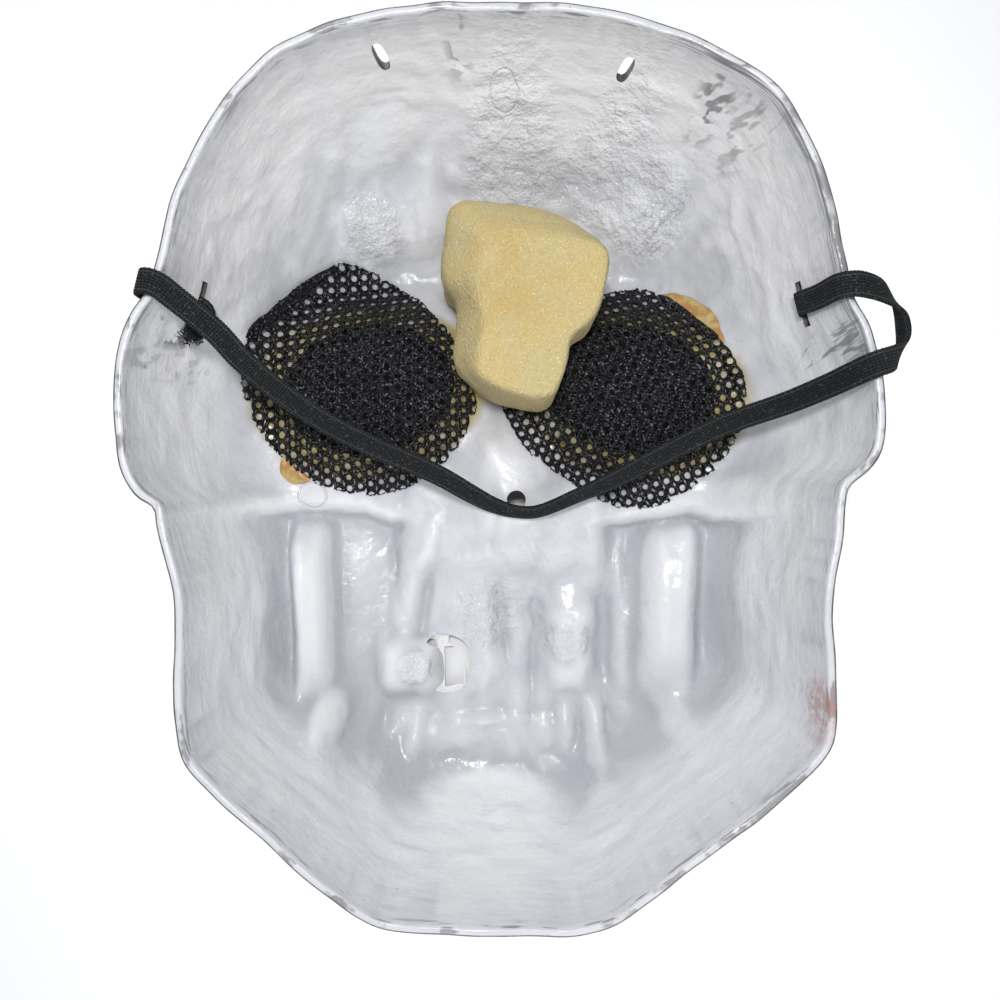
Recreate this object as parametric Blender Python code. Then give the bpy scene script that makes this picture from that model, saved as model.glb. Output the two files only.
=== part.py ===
"""A moulded skull mask that lies face down, with its hollow back upwards.

X runs across the face, Y from chin to crown, and Z upwards out of the hollow. The origin is
the middle of the rim's width and height, on the surface that the mask lies on.
"""

import math

import bmesh
import bpy
import numpy as np
from mathutils import Matrix, Vector
from mathutils.bvhtree import BVHTree

# The shell, in metres. Depths are measured down from the plane of the rim.
RIM_WIDTH = 0.2033
RIM_HEIGHT = 0.2457
FACE_DEPTH = 0.0760
WALL = 0.0022
CHEEK_RISE = 0.0150
CHEEK_EDGE = -0.0145
STEP_SOFTNESS = 0.0036
MAXILLA_RISE = 0.0130
RIM_STATIONS = 94
RINGS = 23
NORMAL_BLURS = 3

# The eye sockets stand up inside the hollow, and an oval hole is cut through the top of each.
EYE_SPACING = 0.0860
EYE_UP = 0.0290
SOCKET_RISE = 0.0250
SOCKET_WIDTH = 0.0780
SOCKET_HEIGHT = 0.0640
EYE_HOLE_WIDTH = 0.0500
EYE_HOLE_HEIGHT = 0.0370
EYE_TURN = 14.0

# The nose, the missing tooth, and the slots for an elastic.
NOSE_RISE = 0.0200
NOSE_WIDTH = 0.0420
NOSE_HEIGHT = 0.0520
NOSE_PLACE = (0.0030, -0.0020)
NOSE_HOLE = 0.0064
NOSE_HOLE_PLACE = (0.0055, -0.0080)
TOOTH_GAP = (0.0072, 0.0150)
TOOTH_GAP_PLACE = (-0.0165, -0.0680)
CROWN_SLOT = (0.0034, 0.0100)
CROWN_SLOT_LEFT_ACROSS = -0.330
CROWN_SLOT_RIGHT_ACROSS = 0.353
CROWN_SLOT_LEFT_DROP = 0.0149
CROWN_SLOT_RIGHT_DROP = 0.0181
CROWN_SLOT_LEAN = 12.0
TEMPLE_SLIT = (0.0130, 0.0026)
TEMPLE_SLIT_DROP = 0.0220
TEMPLE_SLIT_UP = 0.0490
TEMPLE_SLIT_LEAN = 3.0

# The mesh patches, the foam block and the glue.
MESH_REACH = 0.0380
MESH_THICKNESS = 0.0009
MESH_GAP = 0.0004
LAY_REACH = 0.0025
FOAM_TOP = 0.0300
FOAM_SHOULDER = 0.0440
FOAM_GAP = 0.0003
GLUE_THICKNESS = 0.0010
GLUE_GAP = 0.0004

# The elastic.
STRAP_WIDTH = 0.0070
STRAP_THICKNESS = 0.0012
KNOT = (0.0070, 0.0100, 0.0080)
KNOT_GAP = 0.0004

HALF_WIDTH = RIM_WIDTH / 2
HALF_HEIGHT = RIM_HEIGHT / 2

# The rim's outer edge, round from the crown by the wearer's left: shares of half the width
# across and of half the height up.
RIM_OUTLINE = (
    (0.000, 1.000), (-0.205, 0.998), (-0.412, 0.966), (-0.577, 0.908), (-0.686, 0.823),
    (-0.760, 0.738), (-0.812, 0.652), (-0.856, 0.567), (-0.880, 0.470), (-0.910, 0.396),
    (-0.960, 0.330), (-0.990, 0.255), (-1.000, 0.150), (-0.997, 0.070), (-0.984, 0.005),
    (-0.950, -0.045), (-0.902, -0.075), (-0.889, -0.120), (-0.868, -0.195), (-0.845, -0.280),
    (-0.840, -0.380), (-0.842, -0.470), (-0.838, -0.550), (-0.815, -0.630), (-0.737, -0.705),
    (-0.619, -0.791), (-0.505, -0.876), (-0.366, -0.962), (-0.250, -0.993), (0.000, -0.999),
    (0.120, -1.000), (0.225, -0.998), (0.325, -0.962), (0.466, -0.876), (0.606, -0.791),
    (0.737, -0.705), (0.838, -0.620), (0.866, -0.560), (0.868, -0.450), (0.861, -0.340),
    (0.868, -0.240), (0.887, -0.150), (0.897, -0.070), (0.912, -0.027), (0.960, 0.010),
    (0.990, 0.050), (1.000, 0.120), (0.990, 0.210), (0.962, 0.300), (0.915, 0.375),
    (0.890, 0.470), (0.865, 0.567), (0.835, 0.652), (0.786, 0.738), (0.719, 0.823),
    (0.622, 0.880), (0.515, 0.928), (0.412, 0.958), (0.307, 0.982), (0.180, 0.999),
)

# How upright the wall stands below the rim, by the angle from the wearer's right: the
# power of the curve from the rim to the floor.
WALL_FULLNESS = (
    (-180, 6.5), (-165, 9.0), (-135, 11.0), (-90, 17.0), (-45, 11.0), (-15, 9.0),
    (0, 6.5), (40, 5.2), (90, 4.6), (140, 5.2), (180, 6.5),
)

# Low forms of the face. Places and half sizes are shares of half the width and half the
# height, the rise a share of the face's depth towards the hollow, turn in degrees, and edge
# the power of the form's fall: 2 is a soft mound and 5 a flat top with steep sides.
FORM_COLUMNS = ("name", "across", "up", "half_across", "half_up", "turn", "rise", "edge")
RAISED = (
    ("cheek_bar_left", -0.610, -0.360, 0.095, 0.260, 2, 0.190, 2.6),
    ("cheek_bar_right", 0.650, -0.355, 0.100, 0.265, -2, 0.190, 2.6),
    ("bar_slope_left", -0.500, -0.370, 0.125, 0.240, 0, 0.115, 2.5),
    ("bar_slope_right", 0.530, -0.370, 0.125, 0.240, 0, 0.115, 2.5),
    ("bar_foot_left", -0.580, -0.670, 0.110, 0.120, -8, 0.100, 2.4),
    ("bar_foot_right", 0.590, -0.670, 0.110, 0.130, 8, 0.070, 2.4),
)
SMALL_FORMS = (
    ("forehead", 0.000, 0.780, 0.700, 0.230, 0, 0.050, 2.0),
    ("brow_left", -0.330, 0.540, 0.300, 0.110, 8, -0.090, 2.0),
    ("brow_right", 0.330, 0.540, 0.300, 0.110, -8, -0.090, 2.0),
    ("brow_middle", 0.000, 0.440, 0.100, 0.080, 0, 0.060, 2.0),
    ("tooth_lump", -0.300, -0.540, 0.085, 0.080, 0, 0.060, 3.5),
    ("gap_lump", -0.150, -0.545, 0.080, 0.105, 0, 0.020, 3.0),
    ("tooth_block", 0.255, -0.475, 0.088, 0.150, 0, 0.050, 5.0),
    ("chin_dip", 0.000, -0.725, 0.330, 0.050, 0, 0.028, 2.0),
    ("chin", -0.030, -0.850, 0.260, 0.100, 0, -0.025, 2.5),
)
TEETH = 7
TOOTH_PITCH = 0.0105
TOOTH_DENT = 0.0011
TOOTH_ROWS = ((-0.0560, 0.0120), (-0.0800, 0.0100))

# The reach of each mesh patch, at even angles from the wearer's right: shares of MESH_REACH.
PATCH_OUTLINES = {
    "left": (0.87, 0.82, 0.80, 0.79, 0.84, 0.88, 0.99, 1.07, 1.01, 0.97, 0.95, 0.98,
             1.02, 1.05, 1.05, 1.05, 1.07, 1.06, 1.06, 1.05, 1.03, 1.01, 0.98, 0.98),
    "right": (1.05, 0.99, 0.96, 0.95, 1.01, 1.05, 1.00, 0.96, 0.93, 0.93, 0.96, 1.03,
              1.05, 1.00, 0.95, 0.89, 0.87, 0.91, 0.99, 1.04, 1.05, 1.05, 1.07, 1.07),
}
# Each patch sits a little off the middle of its eye hole.
PATCH_LEFT_OFF = (-0.0011, 0.0053)
PATCH_RIGHT_OFF = (-0.0028, -0.0014)
PATCH_PLACES = {
    "left": (PATCH_LEFT_OFF[0] - EYE_SPACING / 2, PATCH_LEFT_OFF[1] + EYE_UP),
    "right": (PATCH_RIGHT_OFF[0] + EYE_SPACING / 2, PATCH_RIGHT_OFF[1] + EYE_UP),
}

# The foam's outlines, in shares of its width and height from its middle: x and y at its
# shoulder and its foot, then x and y at its top. Its left and upper flanks lean out.
FOAM_WIDTH = 0.0539
FOAM_HEIGHT = 0.0662
FOAM_PLACE = (0.0073, 0.0552)
FOAM_OUTLINE = (
    (-0.43, 0.50, -0.21, 0.25), (-0.19, 0.50, -0.09, 0.28), (0.04, 0.48, 0.06, 0.28),
    (0.21, 0.44, 0.21, 0.26), (0.36, 0.37, 0.34, 0.24), (0.48, 0.29, 0.45, 0.22),
    (0.50, 0.19, 0.49, 0.18), (0.48, 0.08, 0.48, 0.08), (0.44, -0.05, 0.44, -0.05),
    (0.38, -0.14, 0.38, -0.14), (0.28, -0.19, 0.28, -0.19), (0.26, -0.23, 0.26, -0.23),
    (0.25, -0.31, 0.25, -0.31), (0.19, -0.46, 0.19, -0.46), (0.13, -0.50, 0.13, -0.49),
    (0.06, -0.50, 0.06, -0.49), (-0.09, -0.47, -0.09, -0.46), (-0.22, -0.43, -0.20, -0.42),
    (-0.39, -0.33, -0.26, -0.37), (-0.42, -0.24, -0.26, -0.28), (-0.40, -0.13, -0.23, -0.17),
    (-0.40, -0.01, -0.24, -0.10), (-0.41, 0.04, -0.26, -0.04), (-0.48, 0.09, -0.26, 0.02),
    (-0.50, 0.17, -0.25, 0.10), (-0.48, 0.30, -0.23, 0.20),
)

# The glue that shows past each patch: from and to angles in degrees, and from and to shares
# of the patch's reach.
GLUE_FLAKES = {"left": (222.0, 238.0, 1.03, 1.22), "right": (26.0, 68.0, 1.03, 1.22)}

# The elastic's middle line: x and y, the depth below the rim, and the turn and lean of the
# band's width in degrees. It is chosen by hand: from the sewn end inside the left slit out and
# over the rim, down in a V over the mesh, over the right rim, and back in to the right slit.
STRAP_ROUTE = (
    (-0.0868, 0.0405, 0.0255, 76, 0), (-0.0862, 0.0440, 0.0240, 76, 0),
    (-0.0866, 0.0468, 0.0226, 76, 0), (-0.0885, 0.0482, 0.0220, 76, 0),
    (-0.0920, 0.0485, 0.0219, 76, 0), (-0.0941, 0.0487, 0.0195, 76, 0),
    (-0.0947, 0.0488, 0.0120, 76, 0), (-0.0950, 0.0489, 0.0030, 76, 0),
    (-0.0942, 0.0489, -0.0013, 76, 0), (-0.0915, 0.0488, -0.0022, 76, 0),
    (-0.0892, 0.0480, -0.0013, 70, 0), (-0.0870, 0.0463, 0.0008, 56, 0),
    (-0.0785, 0.0385, 0.0100, 43, 0), (-0.0730, 0.0315, 0.0165, 43, 2),
    (-0.0641, 0.0233, 0.0250, 51, 5), (-0.0536, 0.0159, 0.0330, 59, 8),
    (-0.0404, 0.0090, 0.0400, 65, 10), (-0.0289, 0.0042, 0.0445, 66, 12),
    (-0.0189, -0.0005, 0.0475, 63, 18), (-0.0099, -0.0057, 0.0500, 62, 28),
    (-0.0026, -0.0095, 0.0513, 68, 42), (0.0050, -0.0118, 0.0520, 82, 54),
    (0.0133, -0.0116, 0.0520, 99, 54), (0.0257, -0.0065, 0.0510, 114, 48),
    (0.0328, -0.0034, 0.0498, 116, 40), (0.0416, 0.0009, 0.0470, 118, 26),
    (0.0627, 0.0121, 0.0385, 115, 10), (0.0734, 0.0168, 0.0330, 111, 8),
    (0.0842, 0.0205, 0.0240, 112, 5), (0.0908, 0.0235, 0.0130, 114, 3),
    (0.0942, 0.0255, 0.0045, 114, 1), (0.0965, 0.0268, -0.0004, 108, 0),
    (0.0992, 0.0278, -0.0022, 100, 0), (0.1030, 0.0293, -0.0008, 90, 15),
    (0.1062, 0.0325, 0.0015, 90, 60), (0.1070, 0.0375, 0.0025, 90, 90),
    (0.1052, 0.0425, 0.0015, 90, 120), (0.0998, 0.0465, -0.0006, 90, 165),
    (0.0945, 0.0478, -0.0021, 92, 180), (0.0912, 0.0480, -0.0021, 98, 180),
    (0.0888, 0.0481, 0.0012, 104, 180), (0.0880, 0.0482, 0.0110, 104, 180),
    (0.0861, 0.0484, 0.0190, 104, 180), (0.0870, 0.0485, 0.0217, 104, 180),
    (0.0895, 0.0486, 0.0220, 100, 180), (0.0935, 0.0487, 0.0220, 90, 180),
)


def smooth_step(value):
    """0 well below zero, 1 well above it, and smooth between."""
    return 0.5 + 0.5 * np.tanh(value)


def closed_spline(points, steps):
    """Points along a smooth closed curve through the given ones."""
    points = np.array(points, float)
    count = len(points)
    share = np.linspace(0, 1, steps, endpoint=False)[:, None]
    runs = []
    for i in range(count):
        before, start, end, after = (points[(i + k) % count] for k in (-1, 0, 1, 2))
        runs.append(
            start
            + 0.5 * share * (end - before)
            + share**2 * (before - 2.5 * start + 2 * end - 0.5 * after)
            + share**3 * (1.5 * (start - end) + 0.5 * (after - before))
        )
    return np.concatenate(runs)


def rim_stations(count):
    """The angle and the outer radius of the rim at stations an even way apart along it."""
    line = closed_spline(RIM_OUTLINE, 16) * (HALF_WIDTH, HALF_HEIGHT)
    line = np.concatenate([line, line[:1]])
    along = np.concatenate([[0], np.cumsum(np.hypot(*np.diff(line, axis=0).T))])
    at = np.linspace(0, along[-1], count, endpoint=False)
    x = np.interp(at, along, line[:, 0])
    y = np.interp(at, along, line[:, 1])
    return np.arctan2(y, x), np.hypot(x, y)


def wall_share(share, angle):
    """How much of the full depth the shell has at a share of the way out to the rim."""
    degrees, fullness = np.array(WALL_FULLNESS, float).T
    power = np.interp(np.degrees(angle), degrees, fullness)
    return np.sqrt(np.maximum(1 - share**power, 0))


def form(x, y, row):
    """One low form of the face, as its height towards the hollow."""
    named = dict(zip(FORM_COLUMNS, row, strict=True))
    turn = math.radians(named["turn"])
    dx = x - named["across"] * HALF_WIDTH
    dy = y - named["up"] * HALF_HEIGHT
    along = (dx * math.cos(turn) + dy * math.sin(turn)) / (named["half_across"] * HALF_WIDTH)
    over = (dy * math.cos(turn) - dx * math.sin(turn)) / (named["half_up"] * HALF_HEIGHT)
    away = np.hypot(along, over)
    return named["rise"] * FACE_DEPTH * np.exp(-(away ** named["edge"]))


def mound(x, y, place, size, turn, rise, edge):
    """A mound or a socket of a given size in metres."""
    row = (
        "mound", place[0] / HALF_WIDTH, place[1] / HALF_HEIGHT, size[0] / 2 / HALF_WIDTH,
        size[1] / 2 / HALF_HEIGHT, turn, rise / FACE_DEPTH, edge,
    )
    return form(x, y, row)


def relief(x, y):
    """How far the face stands in from its full depth, without the wall round it."""
    big = [form(x, y, row) for row in RAISED]
    for side in (-1, 1):
        place = (side * EYE_SPACING / 2, EYE_UP)
        size = (SOCKET_WIDTH, SOCKET_HEIGHT)
        big.append(mound(x, y, place, size, -side * EYE_TURN, SOCKET_RISE, 3.4))
    big.append(mound(x, y, NOSE_PLACE, (NOSE_WIDTH, NOSE_HEIGHT), 0, NOSE_RISE, 3.0))
    cheek = smooth_step((y - CHEEK_EDGE) / STEP_SOFTNESS)
    cheek *= smooth_step((np.abs(x) - 0.30 * HALF_WIDTH) / (0.12 * HALF_WIDTH))
    cheek *= smooth_step((0.40 * HALF_HEIGHT - y) / (0.16 * HALF_HEIGHT))
    big.append(CHEEK_RISE * cheek)
    maxilla = smooth_step((0.385 * HALF_WIDTH - np.abs(x)) / STEP_SOFTNESS)
    maxilla *= smooth_step((y + 0.270 * HALF_HEIGHT) / (0.080 * HALF_HEIGHT))
    maxilla *= smooth_step((0.20 * HALF_HEIGHT - y) / (0.10 * HALF_HEIGHT))
    big.append(MAXILLA_RISE * maxilla)
    joined = np.sum([np.maximum(b, 0) ** 3 for b in big], axis=0) ** (1 / 3)
    small = sum(form(x, y, row) for row in SMALL_FORMS)
    for middle, half in TOOTH_ROWS:
        row = np.exp(-(np.abs((y - middle) / half) ** 4))
        row *= smooth_step((TEETH / 2 * TOOTH_PITCH - np.abs(x)) / (0.4 * TOOTH_PITCH))
        small = small - TOOTH_DENT * row * np.cos(2 * math.pi * x / TOOTH_PITCH)
    return joined + small


def inner_depth(x, y, share, angle):
    """The depth of the shell's inner face below the rim."""
    return wall_share(share, angle) * (FACE_DEPTH - relief(x, y))


def ring_shares(count):
    """Shares of the way out to the rim, closer together where the wall is steep."""
    share = 1 - np.linspace(1, 0, 400) ** 2
    drop = np.sqrt(1 - share**8.0)
    length = np.hypot(np.diff(share) * HALF_WIDTH, np.diff(drop) * FACE_DEPTH)
    along = np.concatenate([[0], np.cumsum(length)])
    return np.interp(np.linspace(0, along[-1], count + 1), along, share)


angles, radii = rim_stations(RIM_STATIONS)
shares = ring_shares(RINGS)
inner_radii = radii - 1.05 * WALL


def inner_grid():
    """The shell's inner face as rings of points from the middle to the rim."""
    share, angle = np.meshgrid(shares[1:], angles, indexing="ij")
    x = share * inner_radii * np.cos(angle)
    y = share * inner_radii * np.sin(angle)
    return np.stack([x, y, -inner_depth(x, y, share, angle)], axis=-1)


def grid_normals(grid, middle):
    """The normal at each point of the rings, towards the hollow."""
    inward = np.concatenate([np.broadcast_to(middle, grid[:1].shape), grid[:-1]])
    outward = np.concatenate([grid[1:], grid[-1:]])
    across = np.roll(grid, -1, axis=1) - np.roll(grid, 1, axis=1)
    normal = np.cross(outward - inward, across)
    normal *= np.sign(normal[..., 2:])
    normal /= np.linalg.norm(normal, axis=-1, keepdims=True)
    for _ in range(NORMAL_BLURS):
        padded = np.concatenate([normal[:1], normal, normal[-1:]])
        round_the_ring = np.roll(normal, 1, axis=1) + np.roll(normal, -1, axis=1)
        normal = normal + round_the_ring + padded[:-2] + padded[2:]
        normal /= np.linalg.norm(normal, axis=-1, keepdims=True)
    normal[-1, :, 2] = 0
    return normal / np.linalg.norm(normal, axis=-1, keepdims=True)


grid = inner_grid()
middle = np.array([0, 0, -inner_depth(*np.zeros((4, 1)))[0]])
RIM_Z = WALL - float(grid[..., 2].min())


def ring_faces(rings, stations, start):
    """Quads between rings of points that start at an index."""
    faces = []
    for i in range(rings - 1):
        for j in range(stations):
            a, b = start + i * stations, start + (i + 1) * stations
            k = (j + 1) % stations
            faces.append((a + j, b + j, b + k, a + k))
    return faces


def inner_surface():
    """The shell's inner face as a tree that rays can be cast at."""
    corners = np.concatenate([middle[None], grid.reshape(-1, 3)]) + (0, 0, RIM_Z)
    faces = [(0, 1 + j, 1 + (j + 1) % RIM_STATIONS) for j in range(RIM_STATIONS)]
    faces += ring_faces(RINGS, RIM_STATIONS, 1)
    faces = [piece for f in faces for piece in ((f[0], f[1], f[2]), (f[0], f[2], f[-1]))]
    faces = [f for f in faces if len(set(f)) == 3]
    return BVHTree.FromPolygons([Vector(c) for c in corners], faces)


inner_tree = inner_surface()


def surface_z(x, y, reach=0.0):
    """The shell's inner height over the floor: the highest within a reach of each point."""
    heights = []
    for px, py in zip(np.atleast_1d(x), np.atleast_1d(y), strict=True):
        found = []
        for turn in range(9 if reach else 1):
            off = reach * min(turn, 1)
            aim = turn * math.pi / 4
            start = Vector((px + off * math.cos(aim), py + off * math.sin(aim), 1.0))
            found.append(inner_tree.ray_cast(start, Vector((0, 0, -1)))[0].z)
        heights.append(max(found))
    return np.array(heights)


def new_object(name, verts, faces, smooth_angle=None):
    """A mesh object in the scene, with its faces turned outwards."""
    mesh = bpy.data.meshes.new(name)
    mesh.from_pydata([tuple(map(float, v)) for v in verts], [], [tuple(map(int, f)) for f in faces])
    shape = bmesh.new()
    shape.from_mesh(mesh)
    bmesh.ops.recalc_face_normals(shape, faces=shape.faces)
    shape.to_mesh(mesh)
    shape.free()
    obj = bpy.data.objects.new(name, mesh)
    bpy.context.scene.collection.objects.link(obj)
    if smooth_angle is not None:
        mesh.shade_smooth()
        mesh.set_sharp_from_angle(angle=math.radians(smooth_angle))
    return obj


def material(name, colour, roughness, metallic=0.0):
    made = bpy.data.materials.new(name)
    made.use_nodes = True
    shader = made.node_tree.nodes["Principled BSDF"]
    shader.inputs["Base Color"].default_value = (*colour, 1)
    shader.inputs["Roughness"].default_value = roughness
    shader.inputs["Metallic"].default_value = metallic
    made.diffuse_color = (*colour, 1)
    return made


def make_shell():
    normals = grid_normals(grid, middle)
    lift = np.array([0, 0, RIM_Z])
    inner = grid.reshape(-1, 3) + lift
    outer = (grid - WALL * normals).reshape(-1, 3) + lift
    count = RIM_STATIONS
    verts = [middle + lift, *inner, middle + lift - (0, 0, WALL), *outer]
    outer_start = 1 + len(inner) + 1
    faces = ring_faces(RINGS, count, 1) + ring_faces(RINGS, count, outer_start)
    inner_rim, outer_rim = len(inner) + 1 - count, len(verts) - count
    for j in range(count):
        k = (j + 1) % count
        faces.append((0, 1 + j, 1 + k))
        faces.append((outer_start - 1, outer_start + j, outer_start + k))
        faces.append((inner_rim + j, outer_rim + j, outer_rim + k, inner_rim + k))
    shell = new_object("mask_shell", verts, faces, 50)
    shell.data.materials.append(material("white_plastic", (0.72, 0.73, 0.76), 0.30))
    return shell


def cutter(name, target, verts, faces):
    """A hidden tool shape that is cut from the target. The exact solver leaves open edges here."""
    tool = new_object(name, verts, faces)
    tool.hide_render = True
    tool.display_type = "WIRE"
    cut = target.modifiers.new(name, "BOOLEAN")
    cut.operation = "DIFFERENCE"
    cut.solver = "MANIFOLD"
    cut.object = tool
    return tool


def prism(outline, low, high):
    """Corners and faces of an upright prism over an outline."""
    count = len(outline)
    verts = [(x, y, low) for x, y in outline] + [(x, y, high) for x, y in outline]
    faces = [tuple(range(count)), tuple(range(count, 2 * count))]
    faces += [(i, (i + 1) % count, count + (i + 1) % count, count + i) for i in range(count)]
    return verts, faces


def oval(width, height, sides, place=(0, 0), turn=0.0):
    """An oval outline."""
    turn = math.radians(turn)
    points = []
    for i in range(sides):
        a = 2 * math.pi * i / sides
        u, v = width / 2 * math.cos(a), height / 2 * math.sin(a)
        points.append(
            (place[0] + u * math.cos(turn) - v * math.sin(turn),
             place[1] + u * math.sin(turn) + v * math.cos(turn))
        )
    return points


def slot_outline(width, height, sides=8):
    """A slot with round ends, longer up than across."""
    radius = width / 2
    points = []
    for side in (1, -1):
        for i in range(sides // 2 + 1):
            a = math.pi * i / (sides // 2)
            points.append(
                (side * radius * math.cos(a), side * (height / 2 - radius + radius * math.sin(a)))
            )
    return points


def cut_holes(shell):
    for name, side in (("left", -1), ("right", 1)):
        place = (side * EYE_SPACING / 2, EYE_UP)
        outline = oval(EYE_HOLE_WIDTH, EYE_HOLE_HEIGHT, 28, place, -side * EYE_TURN)
        cutter(f"cut_eye_{name}", shell, *prism(outline, -0.01, RIM_Z))
    outline = oval(NOSE_HOLE, NOSE_HOLE, 16, NOSE_HOLE_PLACE)
    cutter("cut_nose", shell, *prism(outline, -0.01, RIM_Z))
    x, y = TOOTH_GAP_PLACE
    half_x, half_y = TOOTH_GAP[0] / 2, TOOTH_GAP[1] / 2
    corners = [(x - half_x, y - half_y), (x + half_x, y - half_y + 0.001),
               (x + half_x, y + half_y), (x - half_x, y + half_y)]
    cutter("cut_tooth_gap", shell, *prism(corners, -0.01, RIM_Z))
    for name, side, across, drop in (
        ("left", -1, CROWN_SLOT_LEFT_ACROSS, CROWN_SLOT_LEFT_DROP),
        ("right", 1, CROWN_SLOT_RIGHT_ACROSS, CROWN_SLOT_RIGHT_DROP),
    ):
        verts, faces = prism(slot_outline(*CROWN_SLOT), 0.0, 0.5 * HALF_HEIGHT)
        tool = cutter(f"cut_crown_{name}", shell, verts, faces)
        tool.rotation_euler = (math.radians(-90), math.radians(side * CROWN_SLOT_LEAN), 0)
        tool.location = (across * HALF_WIDTH, 0.7 * HALF_HEIGHT, RIM_Z - drop)
        width, height = TEMPLE_SLIT
        half_z = height / 2
        half_x = 0.15 * HALF_WIDTH
        box = [(-half_x, -width / 2), (half_x, -width / 2), (half_x, width / 2), (-half_x, width / 2)]
        tool = cutter(f"cut_temple_{name}", shell, *prism(box, -half_z, half_z))
        tool.rotation_euler = (0, math.radians(side * TEMPLE_SLIT_LEAN), 0)
        tool.location = (side * 0.88 * HALF_WIDTH, TEMPLE_SLIT_UP, RIM_Z - TEMPLE_SLIT_DROP)


def make_patch(side):
    """One mesh patch: rings of points about its middle, laid just over the shell."""
    outline = np.array(PATCH_OUTLINES[side])
    count = 24
    turns = np.linspace(0, 2 * math.pi, count, endpoint=False)
    table = np.linspace(0, 2 * math.pi, len(outline), endpoint=False)
    reach = MESH_REACH * np.interp(turns, table, outline, period=2 * math.pi)
    px, py = PATCH_PLACES[side]
    x = [np.array([px])]
    y = [np.array([py])]
    steps = (0.22, 0.42, 0.60, 0.74, 0.87, 1.0)
    for step in steps:
        x.append(px + step * reach * np.cos(turns))
        y.append(py + step * reach * np.sin(turns))
    x, y = np.concatenate(x), np.concatenate(y)
    z = surface_z(x, y, LAY_REACH) + MESH_GAP
    low = np.stack([x, y, z], axis=1)
    high = low + (0, 0, MESH_THICKNESS)
    total = len(x)
    faces = []
    for start in (0, total):
        faces += [(start, start + 1 + j, start + 1 + (j + 1) % count) for j in range(count)]
        faces += ring_faces(len(steps), count, start + 1)
    edge = total - count
    faces += [(edge + j, edge + (j + 1) % count, total + edge + (j + 1) % count, total + edge + j)
              for j in range(count)]
    patch = new_object(f"eye_mesh_{side}", np.concatenate([low, high]), faces, 60)
    patch.data.materials.append(material(f"black_mesh_{side}", (0.02, 0.02, 0.02), 0.85))
    return patch


def make_foam():
    """The foam block: a flat top, leaning flanks, and a foot that follows the mask below it."""
    size = [[FOAM_WIDTH], [FOAM_HEIGHT], [FOAM_WIDTH], [FOAM_HEIGHT]]
    x, y, top_x, top_y = np.array(FOAM_OUTLINE).T * size
    foam_x, foam_y = FOAM_PLACE
    count = len(x)
    verts = []
    for px, py, depth in ((top_x, top_y, FOAM_TOP), (x, y, FOAM_SHOULDER)):
        verts.append(np.stack([foam_x + px, foam_y + py, np.full(count, RIM_Z - depth)], axis=1))
    clear = MESH_GAP + MESH_THICKNESS + FOAM_GAP
    lay = 1.8 * LAY_REACH
    for ring in (1.0, 0.66, 0.33):
        px, py = foam_x + ring * x, foam_y + ring * y
        verts.append(np.stack([px, py, surface_z(px, py, lay) + clear], axis=1))
    rings = len(verts)
    verts.append([[foam_x, foam_y, float(surface_z(foam_x, foam_y, lay)[0]) + clear]])
    verts = np.concatenate(verts)
    last = (rings - 1) * count
    faces = [tuple(range(count))] + ring_faces(rings, count, 0)
    faces += [(last + j, last + (j + 1) % count, len(verts) - 1) for j in range(count)]
    foam = new_object("brow_foam", verts, faces)
    foam.data.materials.append(material("cream_foam", (0.72, 0.60, 0.33), 0.95))


def make_glue(side):
    """A flake of glue that follows the edge of a patch."""
    start, end, near, far = GLUE_FLAKES[side]
    outline = np.array(PATCH_OUTLINES[side])
    table = np.linspace(0, 2 * math.pi, len(outline), endpoint=False)
    px, py = PATCH_PLACES[side]
    turns = np.radians(np.linspace(start, end, 9))
    reach = MESH_REACH * np.interp(turns, table, outline, period=2 * math.pi)
    swell = np.sin(np.linspace(0.25, math.pi - 0.25, len(turns)))
    verts = []
    for share in (near * np.ones_like(swell), near + (far - near) * swell):
        x, y = px + share * reach * np.cos(turns), py + share * reach * np.sin(turns)
        low = surface_z(x, y, LAY_REACH / 2) + GLUE_GAP
        verts += [np.stack([x, y, low], axis=1), np.stack([x, y, low + GLUE_THICKNESS], axis=1)]
    verts = np.concatenate([verts[0], verts[1], verts[3], verts[2]])
    count = len(turns)
    faces = []
    for i in range(4):
        for j in range(count - 1):
            a, b = i * count + j, (i + 1) % 4 * count + j
            faces.append((a, b, b + 1, a + 1))
    faces += [tuple(i * count for i in range(4)), tuple(i * count + count - 1 for i in range(4))]
    glue = new_object(f"glue_{side}", verts, faces)
    glue.data.materials.append(material(f"old_glue_{side}", (0.55, 0.38, 0.16), 0.35))


def open_spline(points, steps):
    """Rows along a smooth curve through the given rows."""
    points = np.array(points, float)
    points = np.concatenate([2 * points[:1] - points[1:2], points, 2 * points[-1:] - points[-2:-1]])
    share = np.linspace(0, 1, steps, endpoint=False)[:, None]
    runs = []
    for before, start, end, after in zip(points, points[1:], points[2:], points[3:]):
        runs.append(
            start
            + 0.5 * share * (end - before)
            + share**2 * (before - 2.5 * start + 2 * end - 0.5 * after)
            + share**3 * (1.5 * (start - end) + 0.5 * (after - before))
        )
    return np.concatenate([*runs, points[-2:-1]])


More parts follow.
